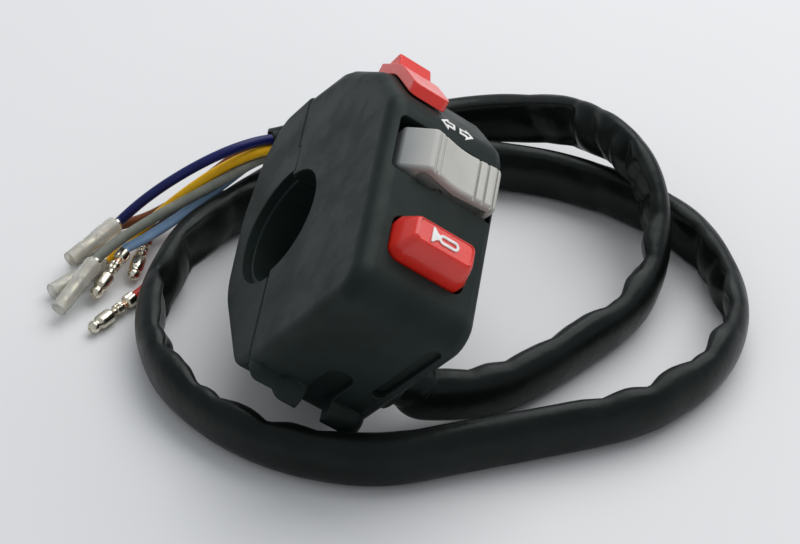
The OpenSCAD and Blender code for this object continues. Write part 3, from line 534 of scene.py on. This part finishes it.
def bend_at(points, i):
    """Curvature over the bench, positive when the route turns left."""
    reach = SLEEVE_STEPS // 2
    a = points[max(i - reach, 0)]
    b = points[i]
    c = points[min(i + reach, len(points) - 1)]
    u, v = b - a, c - b
    if u.length < 1e-6 or v.length < 1e-6:
        return 0.0
    turn = math.atan2(u.x * v.y - u.y * v.x, u.x * v.x + u.y * v.y)
    return turn / (0.5 * (u.length + v.length))


# Creases of the inner wall: distance along the sleeve, lean along it, depth; all in millimetres
CREASES = (
    (13, 1.6, 0.7), (24, -1.5, 0.6), (33, 1.4, 0.6), (46, 2.4, 1.5), (54, -2.0, 1.4), (60.5, 1.5, 1.0),
    (67, -2.0, 1.4), (75, 1.2, 1.5), (82, -1.5, 0.9), (90, 2.0, 1.6), (96, -1.0, 0.9), (102, 1.8, 1.4),
    (111, -1.4, 0.8), (122, 1.5, 0.5), (178, 1.5, 0.5), (196, -1.5, 0.8), (209, 1.4, 0.7),
    (225, -4.0, 2.5), (236, 2.4, 0.9), (246, -2.2, 1.3), (255, 2.0, 1.4), (264, -1.8, 1.1),
    (272, 1.5, 1.3), (284, -1.2, 0.5), (334, 1.2, 0.8), (346, -1.6, 1.3), (354, 1.5, 1.1),
    (361, -1.6, 1.4), (368, 1.5, 1.3), (375.5, -1.6, 1.6), (383, 1.2, 1.1), (390, -1.3, 1.2),
    (398, 1.2, 0.9), (410, -1.2, 0.7), (424, 1.2, 0.5))
CREASE_REACH = 4.6
CREASE_PULL = 1.25
CREASE_DROP = 0.55
DEEP_CREASE = 0.6
HOLLOW_DEPTH = 1.7
# Shares of the half width between which the hollow of the inner wall sets in
HOLLOW_EDGE = (0.42, 0.86)
# The two folds that edge the hollow: angles above and below the middle, how much they stand out
UPPER_FOLD = math.radians(38)
LOWER_FOLD = math.radians(35)
LOWER_SHARE = 0.85
FOLD_SWELL = 0.45
FOLD_BASE = 0.35
DROP_AT = math.radians(60)
# Painted highlight along the lit ridge of the upper fold: its angle on the section and its spread, in degrees
RIDGE_AT = 61
RIDGE_SPREAD = 13
# Bend, in radians per millimetre of run, where the wall starts to crumple and where it has
CRUMPLE_FROM = 0.010
CRUMPLE_FULL = 0.036
# The open end: length of its taper, slant of its rim, and shares by which it narrows and lowers
END_TAPER = 12.0
END_SLANT = 1.0
END_NARROWS = 0.04
END_LOWERS = 0.32


def rise(value, low, high):
    """Smooth step from 0 at low to 1 at high."""
    t = min(max((value - low) / (high - low), 0.0), 1.0)
    return t * t * (3 - 2 * t)


def crease_at(along, height):
    """How far the nearest creases pull the wall in, at a height from -1 to 1 on the section."""
    pull = 0.0
    for place, lean, depth in CREASES:
        t = abs(along - place - lean * height) / CREASE_REACH
        if t < 1.0:
            pull += depth * (1.0 - t) ** 1.5
    return pull


def section_offset(angle, along, crumple, half_w, half_h):
    """One point of the sleeve's section: across and above its middle, and how much painted highlight it gets as
    a lit ridge.
    """
    c, s = math.cos(angle), math.sin(angle)
    pull = crease_at(along, s)
    hollow = HOLLOW_DEPTH * crumple * rise(c, *HOLLOW_EDGE)
    upper = max(0.0, math.cos(angle - UPPER_FOLD)) ** 2
    lower = max(0.0, math.cos(angle + LOWER_FOLD)) ** 2
    near_fold = max(upper, LOWER_SHARE * lower)
    swell = FOLD_SWELL * crumple * near_fold * (1.0 - min(pull, 1.0))
    facing = FOLD_BASE + (1 - FOLD_BASE) * max(c, 0.0)
    across = half_w * c - hollow + swell - CREASE_PULL * pull * near_fold * facing
    above = half_h * s - CREASE_DROP * pull * max(s, 0.0) * max(0.0, math.cos(angle - DROP_AT))
    # Painted highlight: a lit line along the upper fold and glints at the creases, kept as a colour mask
    lift = math.degrees(angle) - RIDGE_AT
    lit = 0.5 * min(pull, 1.0) * near_fold * (1 if pull < DEEP_CREASE else 0.2)
    ridge = crumple * math.exp(-(lift / RIDGE_SPREAD) ** 2) + lit
    return across, above, min(ridge, 1.0)


def slack_at(along):
    """How wide the flat sleeve is at a distance along it, as a share of its usual width."""
    return sum((share * math.sin(along / wave + start) for share, wave, start in SLACK_WAVES), 1.0)


def rim_slant(angle):
    """How far the rim of the open end is set back at an angle of the section."""
    return END_SLANT * rise(-math.sin(angle), -0.2, 1.0)


def make_sleeve():
    """The loom's sleeve: round at the gland, then pressed flat and creased, with an open end."""
    path = smooth(SLEEVE_ROUTE, SLEEVE_STEPS)
    whole = run_length(path)
    rings, painted_highlights = [], []
    travelled = 0.0
    for i, centre in enumerate(path):
        if i:
            travelled += (path[i] - path[i - 1]).length
        way = heading(path, i)
        side, above = cross_axes(way)
        ease = rise(i / SLEEVE_STEPS, 0.0, EASE_SEGMENTS)
        taper = rise(travelled, whole - END_TAPER, whole)
        crumple = rise(abs(bend_at(path, i)), CRUMPLE_FROM, CRUMPLE_FULL) * ease * (1.0 - taper)
        slack = slack_at(travelled)
        half_w = SLEEVE_ROUND * (1 - ease) + SLEEVE_HALF_W * (slack - END_NARROWS * taper) * ease
        half_h = SLEEVE_ROUND * (1 - ease) + SLEEVE_HALF_H * (1.0 - END_LOWERS * taper) * ease
        for k in range(SLEEVE_SIDES):
            angle = 2 * math.pi * k / SLEEVE_SIDES
            x, z, ridge = section_offset(angle, travelled, crumple, half_w, half_h)
            rings.append(centre + side * x + above * z - way * (rim_slant(angle) * taper))
            painted_highlights.append(ridge)
    # The lining of the open end starts from the last section
    for back, wall in MOUTH_LINING:
        for k in range(SLEEVE_SIDES):
            angle = 2 * math.pi * k / SLEEVE_SIDES
            slant = rim_slant(angle) * (1.0 - back / MOUTH_DEPTH)
            rings.append(path[-1] - way * (back + slant) + side * (half_w - wall) * math.cos(angle)
                         + above * (half_h - wall) * math.sin(angle))
            painted_highlights.append(0.0)
    count = len(rings) // SLEEVE_SIDES
    piece = mesh_piece("sleeve_vinyl", [placed(p) for p in rings], ring_faces(count, SLEEVE_SIDES), VINYL)
    # Painted highlight mask on the points, read by the sleeve's colour
    marks = piece.data.attributes.new("painted_highlight", "FLOAT", "POINT")
    marks.data.foreach_set("value", painted_highlights)
    outward(piece)
    stands_for(piece, "sleeve")


# ---------------------------------------------------------------- leads and terminals
LEAD_STEPS = 8
LEAD_SIDES = 20
# Passes that ease a lead's kinks, and points at its terminal that they leave alone
LEAD_EASING = 90
LEAD_HELD = 6
# Depths at which a lead is held in line with the sleeve's mouth, and how far inside they would meet
DEPTHS_INSIDE = (-6, -3)
DEPTHS_OUTSIDE = (0, 1.5, 3)
LEADS_MEET = 24
CRIMP_LEAD_IN = 1.5
TERMINAL_SIDES = 32
SEAM_SPREAD = 0.22
TERMINAL_SHARP = math.radians(50)
# Bare strands: where they start on the terminal, length, number, radius of the bundle and of one strand
STRANDS_FROM = 1.4
STRANDS_LENGTH = 2.4
STRAND_COUNT = 14
BUNDLE_R = 0.72
STRAND_R = 0.17
# Twist of the bundle, in radians per metre
STRAND_TWIST = 240.0
# Terminal sections from the wire end: distance along it, radius, depth of the seam groove
TERMINAL_SECTIONS = (
    (0.0, 1.12, 0.0), (0.02, 1.34, 0.1), (0.25, 1.4, 0.3), (1.7, 1.4, 0.34), (1.95, 1.32, 0.25),
    (2.15, 0.9, 0.0), (2.3, 0.55, 0.0), (2.95, 0.55, 0.0), (3.1, 0.9, 0.0), (3.3, 1.12, 0.3),
    (3.9, 1.16, 0.42), (4.0, 1.06, 0.42), (4.3, 1.06, 0.42), (4.4, 1.16, 0.42), (4.9, 1.12, 0.3),
    (5.1, 0.82, 0.1), (5.8, 0.8, 0.0), (6.2, 1.1, 0.0), (6.45, 1.4, 0.06), (6.7, 1.45, 0.1),
    (9.1, 1.45, 0.1), (9.4, 1.4, 0.06), (9.85, 1.1, 0.0), (10.1, 1.03, 0.0), (10.4, 1.08, 0.0),
    (10.7, 1.24, 0.0), (10.95, 1.25, 0.0), (11.4, 1.1, 0.0), (11.8, 0.82, 0.0), (11.98, 0.62, 0.0),
    (12.0, 0.5, 0.0), (11.9, 0.4, 0.0), (11.0, 0.36, 0.0))


def lead_points(name):
    """Route of a lead up to its crimp, and the direction of its terminal."""
    (across, above), middle, tip = LEADS[name]
    inside = []
    for depth in DEPTHS_INSIDE:
        share = 1 + depth / LEADS_MEET
        inside.append(from_mouth(across * share, above * share, depth))
    outside = [from_mouth(across, above, d) for d in DEPTHS_OUTSIDE]
    route = inside + outside + [Vector(p) for p in middle]
    end, tip = route[-1], Vector(tip)
    way = (tip - end).normalized()
    return route[:-1] + [end - way * CRIMP_LEAD_IN, end], way


def new_form_tree(name, inputs):
    """A geometry tree with one geometry in, one out and the named inputs."""
    tree = bpy.data.node_groups.new(name, "GeometryNodeTree")
    tree.interface.new_socket(name="Geometry", in_out="INPUT", socket_type="NodeSocketGeometry")
    for label, kind, value in inputs:
        socket = tree.interface.new_socket(name=label, in_out="INPUT", socket_type=kind)
        if value is not None:
            socket.default_value = value
    tree.interface.new_socket(name="Geometry", in_out="OUTPUT", socket_type="NodeSocketGeometry")
    return tree, tree.nodes.new("NodeGroupInput"), tree.nodes.new("NodeGroupOutput")


def finish_form(tree, took, gave, geometry):
    """Ends a geometry tree: instances made real, smooth faces, the material set."""
    real = tree.nodes.new("GeometryNodeRealizeInstances")
    shade = tree.nodes.new("GeometryNodeSetShadeSmooth")
    paint = tree.nodes.new("GeometryNodeSetMaterial")
    tree.links.new(geometry, real.inputs["Geometry"])
    tree.links.new(real.outputs["Geometry"], shade.inputs["Geometry"])
    tree.links.new(shade.outputs["Geometry"], paint.inputs["Geometry"])
    tree.links.new(took.outputs["Material"], paint.inputs["Material"])
    tree.links.new(paint.outputs["Geometry"], gave.inputs["Geometry"])


def build_lead_tube():
    """Round insulation drawn along a route."""
    tree, took, gave = new_form_tree("lead_tube", [
        ("Radius", "NodeSocketFloat", 0.001), ("Sides", "NodeSocketInt", 20),
        ("Material", "NodeSocketMaterial", None)])
    line = tree.nodes.new("GeometryNodeMeshToCurve")
    ring = tree.nodes.new("GeometryNodeCurvePrimitiveCircle")
    sweep = tree.nodes.new("GeometryNodeCurveToMesh")
    sweep.inputs["Fill Caps"].default_value = True
    tree.links.new(took.outputs["Geometry"], line.inputs["Mesh"])
    tree.links.new(took.outputs["Sides"], ring.inputs["Resolution"])
    tree.links.new(took.outputs["Radius"], ring.inputs["Radius"])
    tree.links.new(line.outputs["Curve"], sweep.inputs["Curve"])
    tree.links.new(ring.outputs["Curve"], sweep.inputs["Profile Curve"])
    finish_form(tree, took, gave, sweep.outputs["Mesh"])
    return tree


# Turn from one strand to the next, in radians, that spreads them evenly over a disc
GOLDEN_TURN = 2.39996


def build_strand_bundle():
    """Bare copper strands laid round each other with a slow twist, along Z from the origin."""
    tree, took, gave = new_form_tree("strand_bundle", [
        ("Count", "NodeSocketInt", 16), ("Bundle Radius", "NodeSocketFloat", 0.0006),
        ("Strand Radius", "NodeSocketFloat", 0.00014), ("Length", "NodeSocketFloat", 0.0024),
        ("Twist", "NodeSocketFloat", 260.0), ("Material", "NodeSocketMaterial", None)])
    dots = tree.nodes.new("GeometryNodePoints")
    tree.links.new(took.outputs["Count"], dots.inputs["Count"])
    index = tree.nodes.new("GeometryNodeInputIndex").outputs["Index"]
    turn = math_node(tree, "MULTIPLY", index, GOLDEN_TURN)
    share = math_node(tree, "DIVIDE", math_node(tree, "ADD", index, 0.5), took.outputs["Count"])
    reach = math_node(tree, "MULTIPLY", math_node(tree, "SQRT", share), took.outputs["Bundle Radius"])
    spot = tree.nodes.new("ShaderNodeCombineXYZ")
    tree.links.new(math_node(tree, "MULTIPLY", math_node(tree, "COSINE", turn), reach), spot.inputs["X"])
    tree.links.new(math_node(tree, "MULTIPLY", math_node(tree, "SINE", turn), reach), spot.inputs["Y"])
    spread = tree.nodes.new("GeometryNodeSetPosition")
    tree.links.new(dots.outputs["Points"], spread.inputs["Geometry"])
    tree.links.new(spot.outputs["Vector"], spread.inputs["Position"])
    line = tree.nodes.new("GeometryNodeCurvePrimitiveLine")
    top = tree.nodes.new("ShaderNodeCombineXYZ")
    tree.links.new(took.outputs["Length"], top.inputs["Z"])
    tree.links.new(top.outputs["Vector"], line.inputs["End"])
    fine = tree.nodes.new("GeometryNodeResampleCurve")
    fine.inputs["Count"].default_value = 8
    tree.links.new(line.outputs["Curve"], fine.inputs["Curve"])
    ring = tree.nodes.new("GeometryNodeCurvePrimitiveCircle")
    ring.inputs["Resolution"].default_value = 8
    tree.links.new(took.outputs["Strand Radius"], ring.inputs["Radius"])
    sweep = tree.nodes.new("GeometryNodeCurveToMesh")
    sweep.inputs["Fill Caps"].default_value = True
    tree.links.new(fine.outputs["Curve"], sweep.inputs["Curve"])
    tree.links.new(ring.outputs["Curve"], sweep.inputs["Profile Curve"])
    repeat = tree.nodes.new("GeometryNodeInstanceOnPoints")
    tree.links.new(spread.outputs["Geometry"], repeat.inputs["Points"])
    tree.links.new(sweep.outputs["Mesh"], repeat.inputs["Instance"])
    loose = tree.nodes.new("GeometryNodeRealizeInstances")
    tree.links.new(repeat.outputs["Instances"], loose.inputs["Geometry"])
    place = tree.nodes.new("GeometryNodeInputPosition").outputs["Position"]
    parts = tree.nodes.new("ShaderNodeSeparateXYZ")
    tree.links.new(place, parts.inputs["Vector"])
    swing = tree.nodes.new("ShaderNodeVectorRotate")
    swing.rotation_type = "Z_AXIS"
    tree.links.new(place, swing.inputs["Vector"])
    spin = math_node(tree, "MULTIPLY", parts.outputs["Z"], took.outputs["Twist"])
    tree.links.new(spin, swing.inputs["Angle"])
    twisted = tree.nodes.new("GeometryNodeSetPosition")
    tree.links.new(loose.outputs["Geometry"], twisted.inputs["Geometry"])
    tree.links.new(swing.outputs["Vector"], twisted.inputs["Position"])
    finish_form(tree, took, gave, twisted.outputs["Geometry"])
    return tree


LEAD_TUBE = build_lead_tube()
STRAND_BUNDLE = build_strand_bundle()


def formed(name, base, tree, **values):
    """A plain mesh made by a geometry tree from a base mesh."""
    holder = bpy.data.objects.new(name, base)
    scene.collection.objects.link(holder)
    step = holder.modifiers.new("form", "NODES")
    step.node_group = tree
    for item in tree.interface.items_tree:
        label = item.name.replace(" ", "_")
        if item.in_out == "INPUT" and label in values:
            step[item.identifier] = values[label]
    graph = bpy.context.evaluated_depsgraph_get()
    mesh = bpy.data.meshes.new_from_object(holder.evaluated_get(graph), depsgraph=graph)
    bpy.data.objects.remove(holder)
    bpy.data.meshes.remove(base)
    mesh.name = name
    return mesh


def make_lead(name):
    """One lead with its terminal and, where it has one, its cover."""
    points, way = lead_points(name)
    path = [placed(p) for p in relaxed(smooth(points, LEAD_STEPS), LEAD_EASING, LEAD_HELD)]
    base = bpy.data.meshes.new(name + "_route")
    base.from_pydata([tuple(p) for p in path], [(i, i + 1) for i in range(len(path) - 1)], [])
    paint = INSULATION[name].material
    mesh = formed(name + "_insulation", base, LEAD_TUBE, Radius=LEAD_D / 2 * MM, Sides=LEAD_SIDES,
                  Material=paint)
    piece = bpy.data.objects.new(name + "_insulation", mesh)
    scene.collection.objects.link(piece)
    outward(piece)
    stands_for(piece, name + "_lead")
    on_it = [make_terminal(name, points[-1], way)]
    if name in BOOTED:
        on_it.append(make_boot(name, points[-1], way))


def section_ring(start, way, along, radius_at):
    """One ring of points round a terminal's axis; radius_at gives the radius at an angle."""
    side, above = cross_axes(way)
    ring = []
    for k in range(TERMINAL_SIDES):
        angle = 2 * math.pi * k / TERMINAL_SIDES
        r = radius_at(angle)
        ring.append(placed(start + way * along + side * r * math.cos(angle) + above * r * math.sin(angle)))
    return ring


def seamed(radius, groove, angle):
    """Radius of a rolled section: the seam groove runs along its top."""
    off = (angle - math.pi / 2 + math.pi) % (2 * math.pi) - math.pi
    return radius - groove * math.exp(-(off / SEAM_SPREAD) ** 2)


def make_terminal(name, start, way):
    """A crimped bullet terminal with bare strands between its crimps."""
    points = []
    for along, radius, groove in TERMINAL_SECTIONS:
        points += section_ring(start, way, along, lambda angle: seamed(radius, groove, angle))
    piece = mesh_piece(name + "_terminal", points, ring_faces(len(TERMINAL_SECTIONS), TERMINAL_SIDES), TINNED)
    outward(piece)
    add_strands(piece, placed(start + way * STRANDS_FROM), way)
    piece.data.set_sharp_from_angle(angle=TERMINAL_SHARP)
    stands_for(piece, name + "_bullet")
    return piece


def add_strands(piece, origin, way):
    """Joins a bundle of bare strands to a terminal, between its two crimps."""
    base = bpy.data.meshes.new("strand_base")
    mesh = formed("strands", base, STRAND_BUNDLE, Count=STRAND_COUNT, Bundle_Radius=BUNDLE_R * MM,
                  Strand_Radius=STRAND_R * MM, Length=STRANDS_LENGTH * MM, Twist=STRAND_TWIST,
                  Material=COPPER.material)
    side, above = cross_axes(way)
    turn = Matrix((side, above, way)).transposed().to_4x4()
    mesh.transform(Matrix.Translation(origin) @ turn)
    piece.data.materials.append(COPPER.material)
    form = bmesh.new()
    form.from_mesh(piece.data)
    own = len(form.faces)
    form.from_mesh(mesh)
    form.faces.ensure_lookup_table()
    for face in form.faces[own:]:
        face.material_index = 1
        face.smooth = True
    form.to_mesh(piece.data)
    form.free()
    bpy.data.meshes.remove(mesh)


# Cover sections: distance along the terminal, radius, milky band; outside first, then back along the inside
BOOT_SECTIONS = (
    (0.6, 1.56, 1.0), (0.62, 1.78, 1.0), (0.85, 1.85, 1.0), (1.5, 1.86, 0.3), (4.6, 1.85, 0.25),
    (5.3, 1.85, 0.7), (5.7, 1.82, 1.0), (6.0, 1.72, 1.0), (6.35, 1.64, 0.5), (7.0, 1.64, 0.15),
    (9.0, 1.64, 0.15), (9.4, 1.66, 0.8), (9.7, 1.66, 0.9), (10.1, 1.64, 0.2), (12.5, 1.64, 0.1),
    (12.75, 1.64, 0.7), (12.95, 1.6, 0.9), (13.0, 1.55, 0.9), (12.9, 1.5, 0.3), (6.4, 1.5, 0.2),
    (0.8, 1.5, 0.5))
BOOT_OVAL = 0.006


def ovalled(radius, along, angle):
    """Radius of a soft cover that is a little out of round."""
    return radius * (1 + BOOT_OVAL * math.sin(2 * angle + along))


def make_boot(name, start, way):
    """A milky cover over a terminal, open at both ends."""
    points = []
    for along, radius, _ in BOOT_SECTIONS:
        points += section_ring(start, way, along, lambda angle: ovalled(radius, along, angle))
    count = len(BOOT_SECTIONS)
    faces = ring_faces(count, TERMINAL_SIDES, capped=False)
    for k in range(TERMINAL_SIDES):
        a, b = (count - 1) * TERMINAL_SIDES + k, (count - 1) * TERMINAL_SIDES + (k + 1) % TERMINAL_SIDES
        faces.append((a, b, (k + 1) % TERMINAL_SIDES, k))
    piece = mesh_piece(name + "_cover", points, faces, BOOT)
    marks = piece.data.attributes.new("band", "FLOAT", "POINT")
    marks.data.foreach_set("value", [band for _, _, band in BOOT_SECTIONS for _ in range(TERMINAL_SIDES)])
    outward(piece)
    stands_for(piece, name + "_boot")
    return piece


make_sleeve()
for lead_name in LEADS:
    make_lead(lead_name)


# ---------------------------------------------------------------- shells and caps, with softened edges
BEVEL_ANGLE = math.radians(40)
BEVEL_SEGMENTS = 3
SHARP_ANGLE = math.radians(36)
FLAT_WITHIN = math.radians(0.6)
# Distances in metres: where points of a copy merge, and how far off an edge the look outwards starts
MERGE_WITHIN = 2e-6
LOOK_FROM = 2e-5
# Share of the bevel's width beyond which a point has left the old surface
STRAY_SHARE = 0.4


def open_edges(form):
    """Outward sharp edges that nothing covers, so that they can be seen and touched."""
    tree = BVHTree.FromBMesh(form)
    chosen = []
    for edge in form.edges:
        if len(edge.link_faces) != 2 or not edge.is_convex or edge.calc_face_angle(0) < BEVEL_ANGLE:
            continue
        middle = (edge.verts[0].co + edge.verts[1].co) / 2
        away = (edge.link_faces[0].normal + edge.link_faces[1].normal).normalized()
        if tree.ray_cast(middle + away * LOOK_FROM, away)[0] is None:
            chosen.append(edge)
    return chosen


def softened(node, finish, body, width):
    """A merged copy of a node with rounded open edges; the rounded faces are marked for wear."""
    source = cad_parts[node]
    form = bmesh.new()
    form.from_mesh(source.data)
    form.transform(source.matrix_world)
    bmesh.ops.remove_doubles(form, verts=form.verts, dist=MERGE_WITHIN)
    bmesh.ops.dissolve_degenerate(form, edges=form.edges, dist=MERGE_WITHIN)
    bmesh.ops.dissolve_limit(form, verts=form.verts, edges=form.edges, angle_limit=FLAT_WITHIN)
    form.normal_update()
    skin = BVHTree.FromBMesh(form)
    made = bmesh.ops.bevel(form, geom=open_edges(form), offset=width * MM, offset_type="OFFSET",
                           segments=BEVEL_SEGMENTS, profile=0.5, affect="EDGES", clamp_overlap=False)
    rounded = {v for f in made["faces"] for v in f.verts}
    layer = form.verts.layers.float.new("edge")
    for v in form.verts:
        v[layer] = 1.0 if v in rounded else 0.0
        nearest, _, _, distance = skin.find_nearest(v.co)
        if distance > STRAY_SHARE * width * MM:
            v.co = nearest
    mesh = bpy.data.meshes.new(node + "_dressed")
    form.to_mesh(mesh)
    form.free()
    mesh.polygons.foreach_set("use_smooth", [True] * len(mesh.polygons))
    mesh.set_sharp_from_angle(angle=SHARP_ANGLE)
    mesh.materials.append(finish.material)
    piece = bpy.data.objects.new(node + "_dressed", mesh)
    scene.collection.objects.link(piece)
    even = piece.modifiers.new("even_shading", "WEIGHTED_NORMAL")
    even.mode = "FACE_AREA"
    even.weight = 100
    even.keep_sharp = True
    stands_for(piece, node, body)


SHELL_EDGE = 0.22
CAP_EDGE = 0.2
softened("front_housing", SHELL, "housing_body", SHELL_EDGE)
softened("rear_housing", SHELL, "housing_body", SHELL_EDGE)
softened("turn_rocker", GREY, "rocker_body", CAP_EDGE)
softened("horn_button", RED, "horn_body", CAP_EDGE)
softened("light_slider", RED, "slider_body", CAP_EDGE)


def make_horn_spring():
    """A copy of the spring with the steel finish, drawn in place of the spring node."""
    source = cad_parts["horn_spring"]
    mesh = source.data.copy()
    mesh.name = "horn_coil"
    mesh.materials.clear()
    mesh.materials.append(STEEL.material)
    piece = bpy.data.objects.new("horn_coil", mesh)
    scene.collection.objects.link(piece)
    stands_for(piece, "horn_spring")
    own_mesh(piece)


make_horn_spring()


# ---------------------------------------------------------------- finishes of the nodes that stay as they are
NODE_FINISHES = {
    INNER: ("turn_base", "horn_base", "light_base", "slider_carriage", "cable_gland"),
    WHITE: ("turn_arrows", "horn_symbol"),
    STEEL: ("clamp_screws", "base_screws", "rocker_pin", "rocker_spring", "horn_clip", "slider_ball",
            "slider_spring"),
    BRASS: ("screw_inserts", "rocker_plunger"),
    COPPER: ("turn_contacts", "horn_contact_disc", "horn_contacts", "slider_bridge", "light_contacts"),
}
for finish, nodes in NODE_FINISHES.items():
    for node in nodes:
        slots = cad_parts[node].data.materials
        slots.clear()
        slots.append(finish.material)


# ---------------------------------------------------------------- table and light
# In metres and watts
TABLE_HALF = 3.0
ROOM_COLOUR = (0.92, 0.96, 1.0, 1)
ROOM_STRENGTH = 0.5
LAMP_AT = (0.3, 0.4, 0.7)
LAMP_SIZE = (1.0, 0.8)
LAMP_WATTS = 6.0


def add_table():
    h = TABLE_HALF
    corners = [(-h, -h, 0), (h, -h, 0), (h, h, 0), (-h, h, 0)]
    table = Finish("table_pale", 0.6, specular=0.25)
    cloud = remap(table.tree, noise_node(table.tree, table.place, 6.0, 2.0), 0.3, 0.7)
    table.feed("Base Color", mix_colour(table.tree, cloud, (0.765, 0.765, 0.77), (0.785, 0.785, 0.79)))
    piece = mesh_piece("table", corners, [(0, 1, 2, 3)], table, False)


def add_softbox():
    data = bpy.data.lights.new("top_box", "AREA")
    data.shape = "RECTANGLE"
    data.size, data.size_y = LAMP_SIZE
    data.energy = LAMP_WATTS
    lamp = bpy.data.objects.new("top_box", data)
    lamp.location = LAMP_AT
    lamp.rotation_euler = (-Vector(LAMP_AT)).to_track_quat("-Z", "Y").to_euler()
    scene.collection.objects.link(lamp)


def add_room_light():
    world = bpy.data.worlds.new("room")
    world.use_nodes = True
    shade = world.node_tree.nodes["Background"]
    shade.inputs["Color"].default_value = ROOM_COLOUR
    shade.inputs["Strength"].default_value = ROOM_STRENGTH
    scene.world = world


add_table()
add_room_light()
add_softbox()
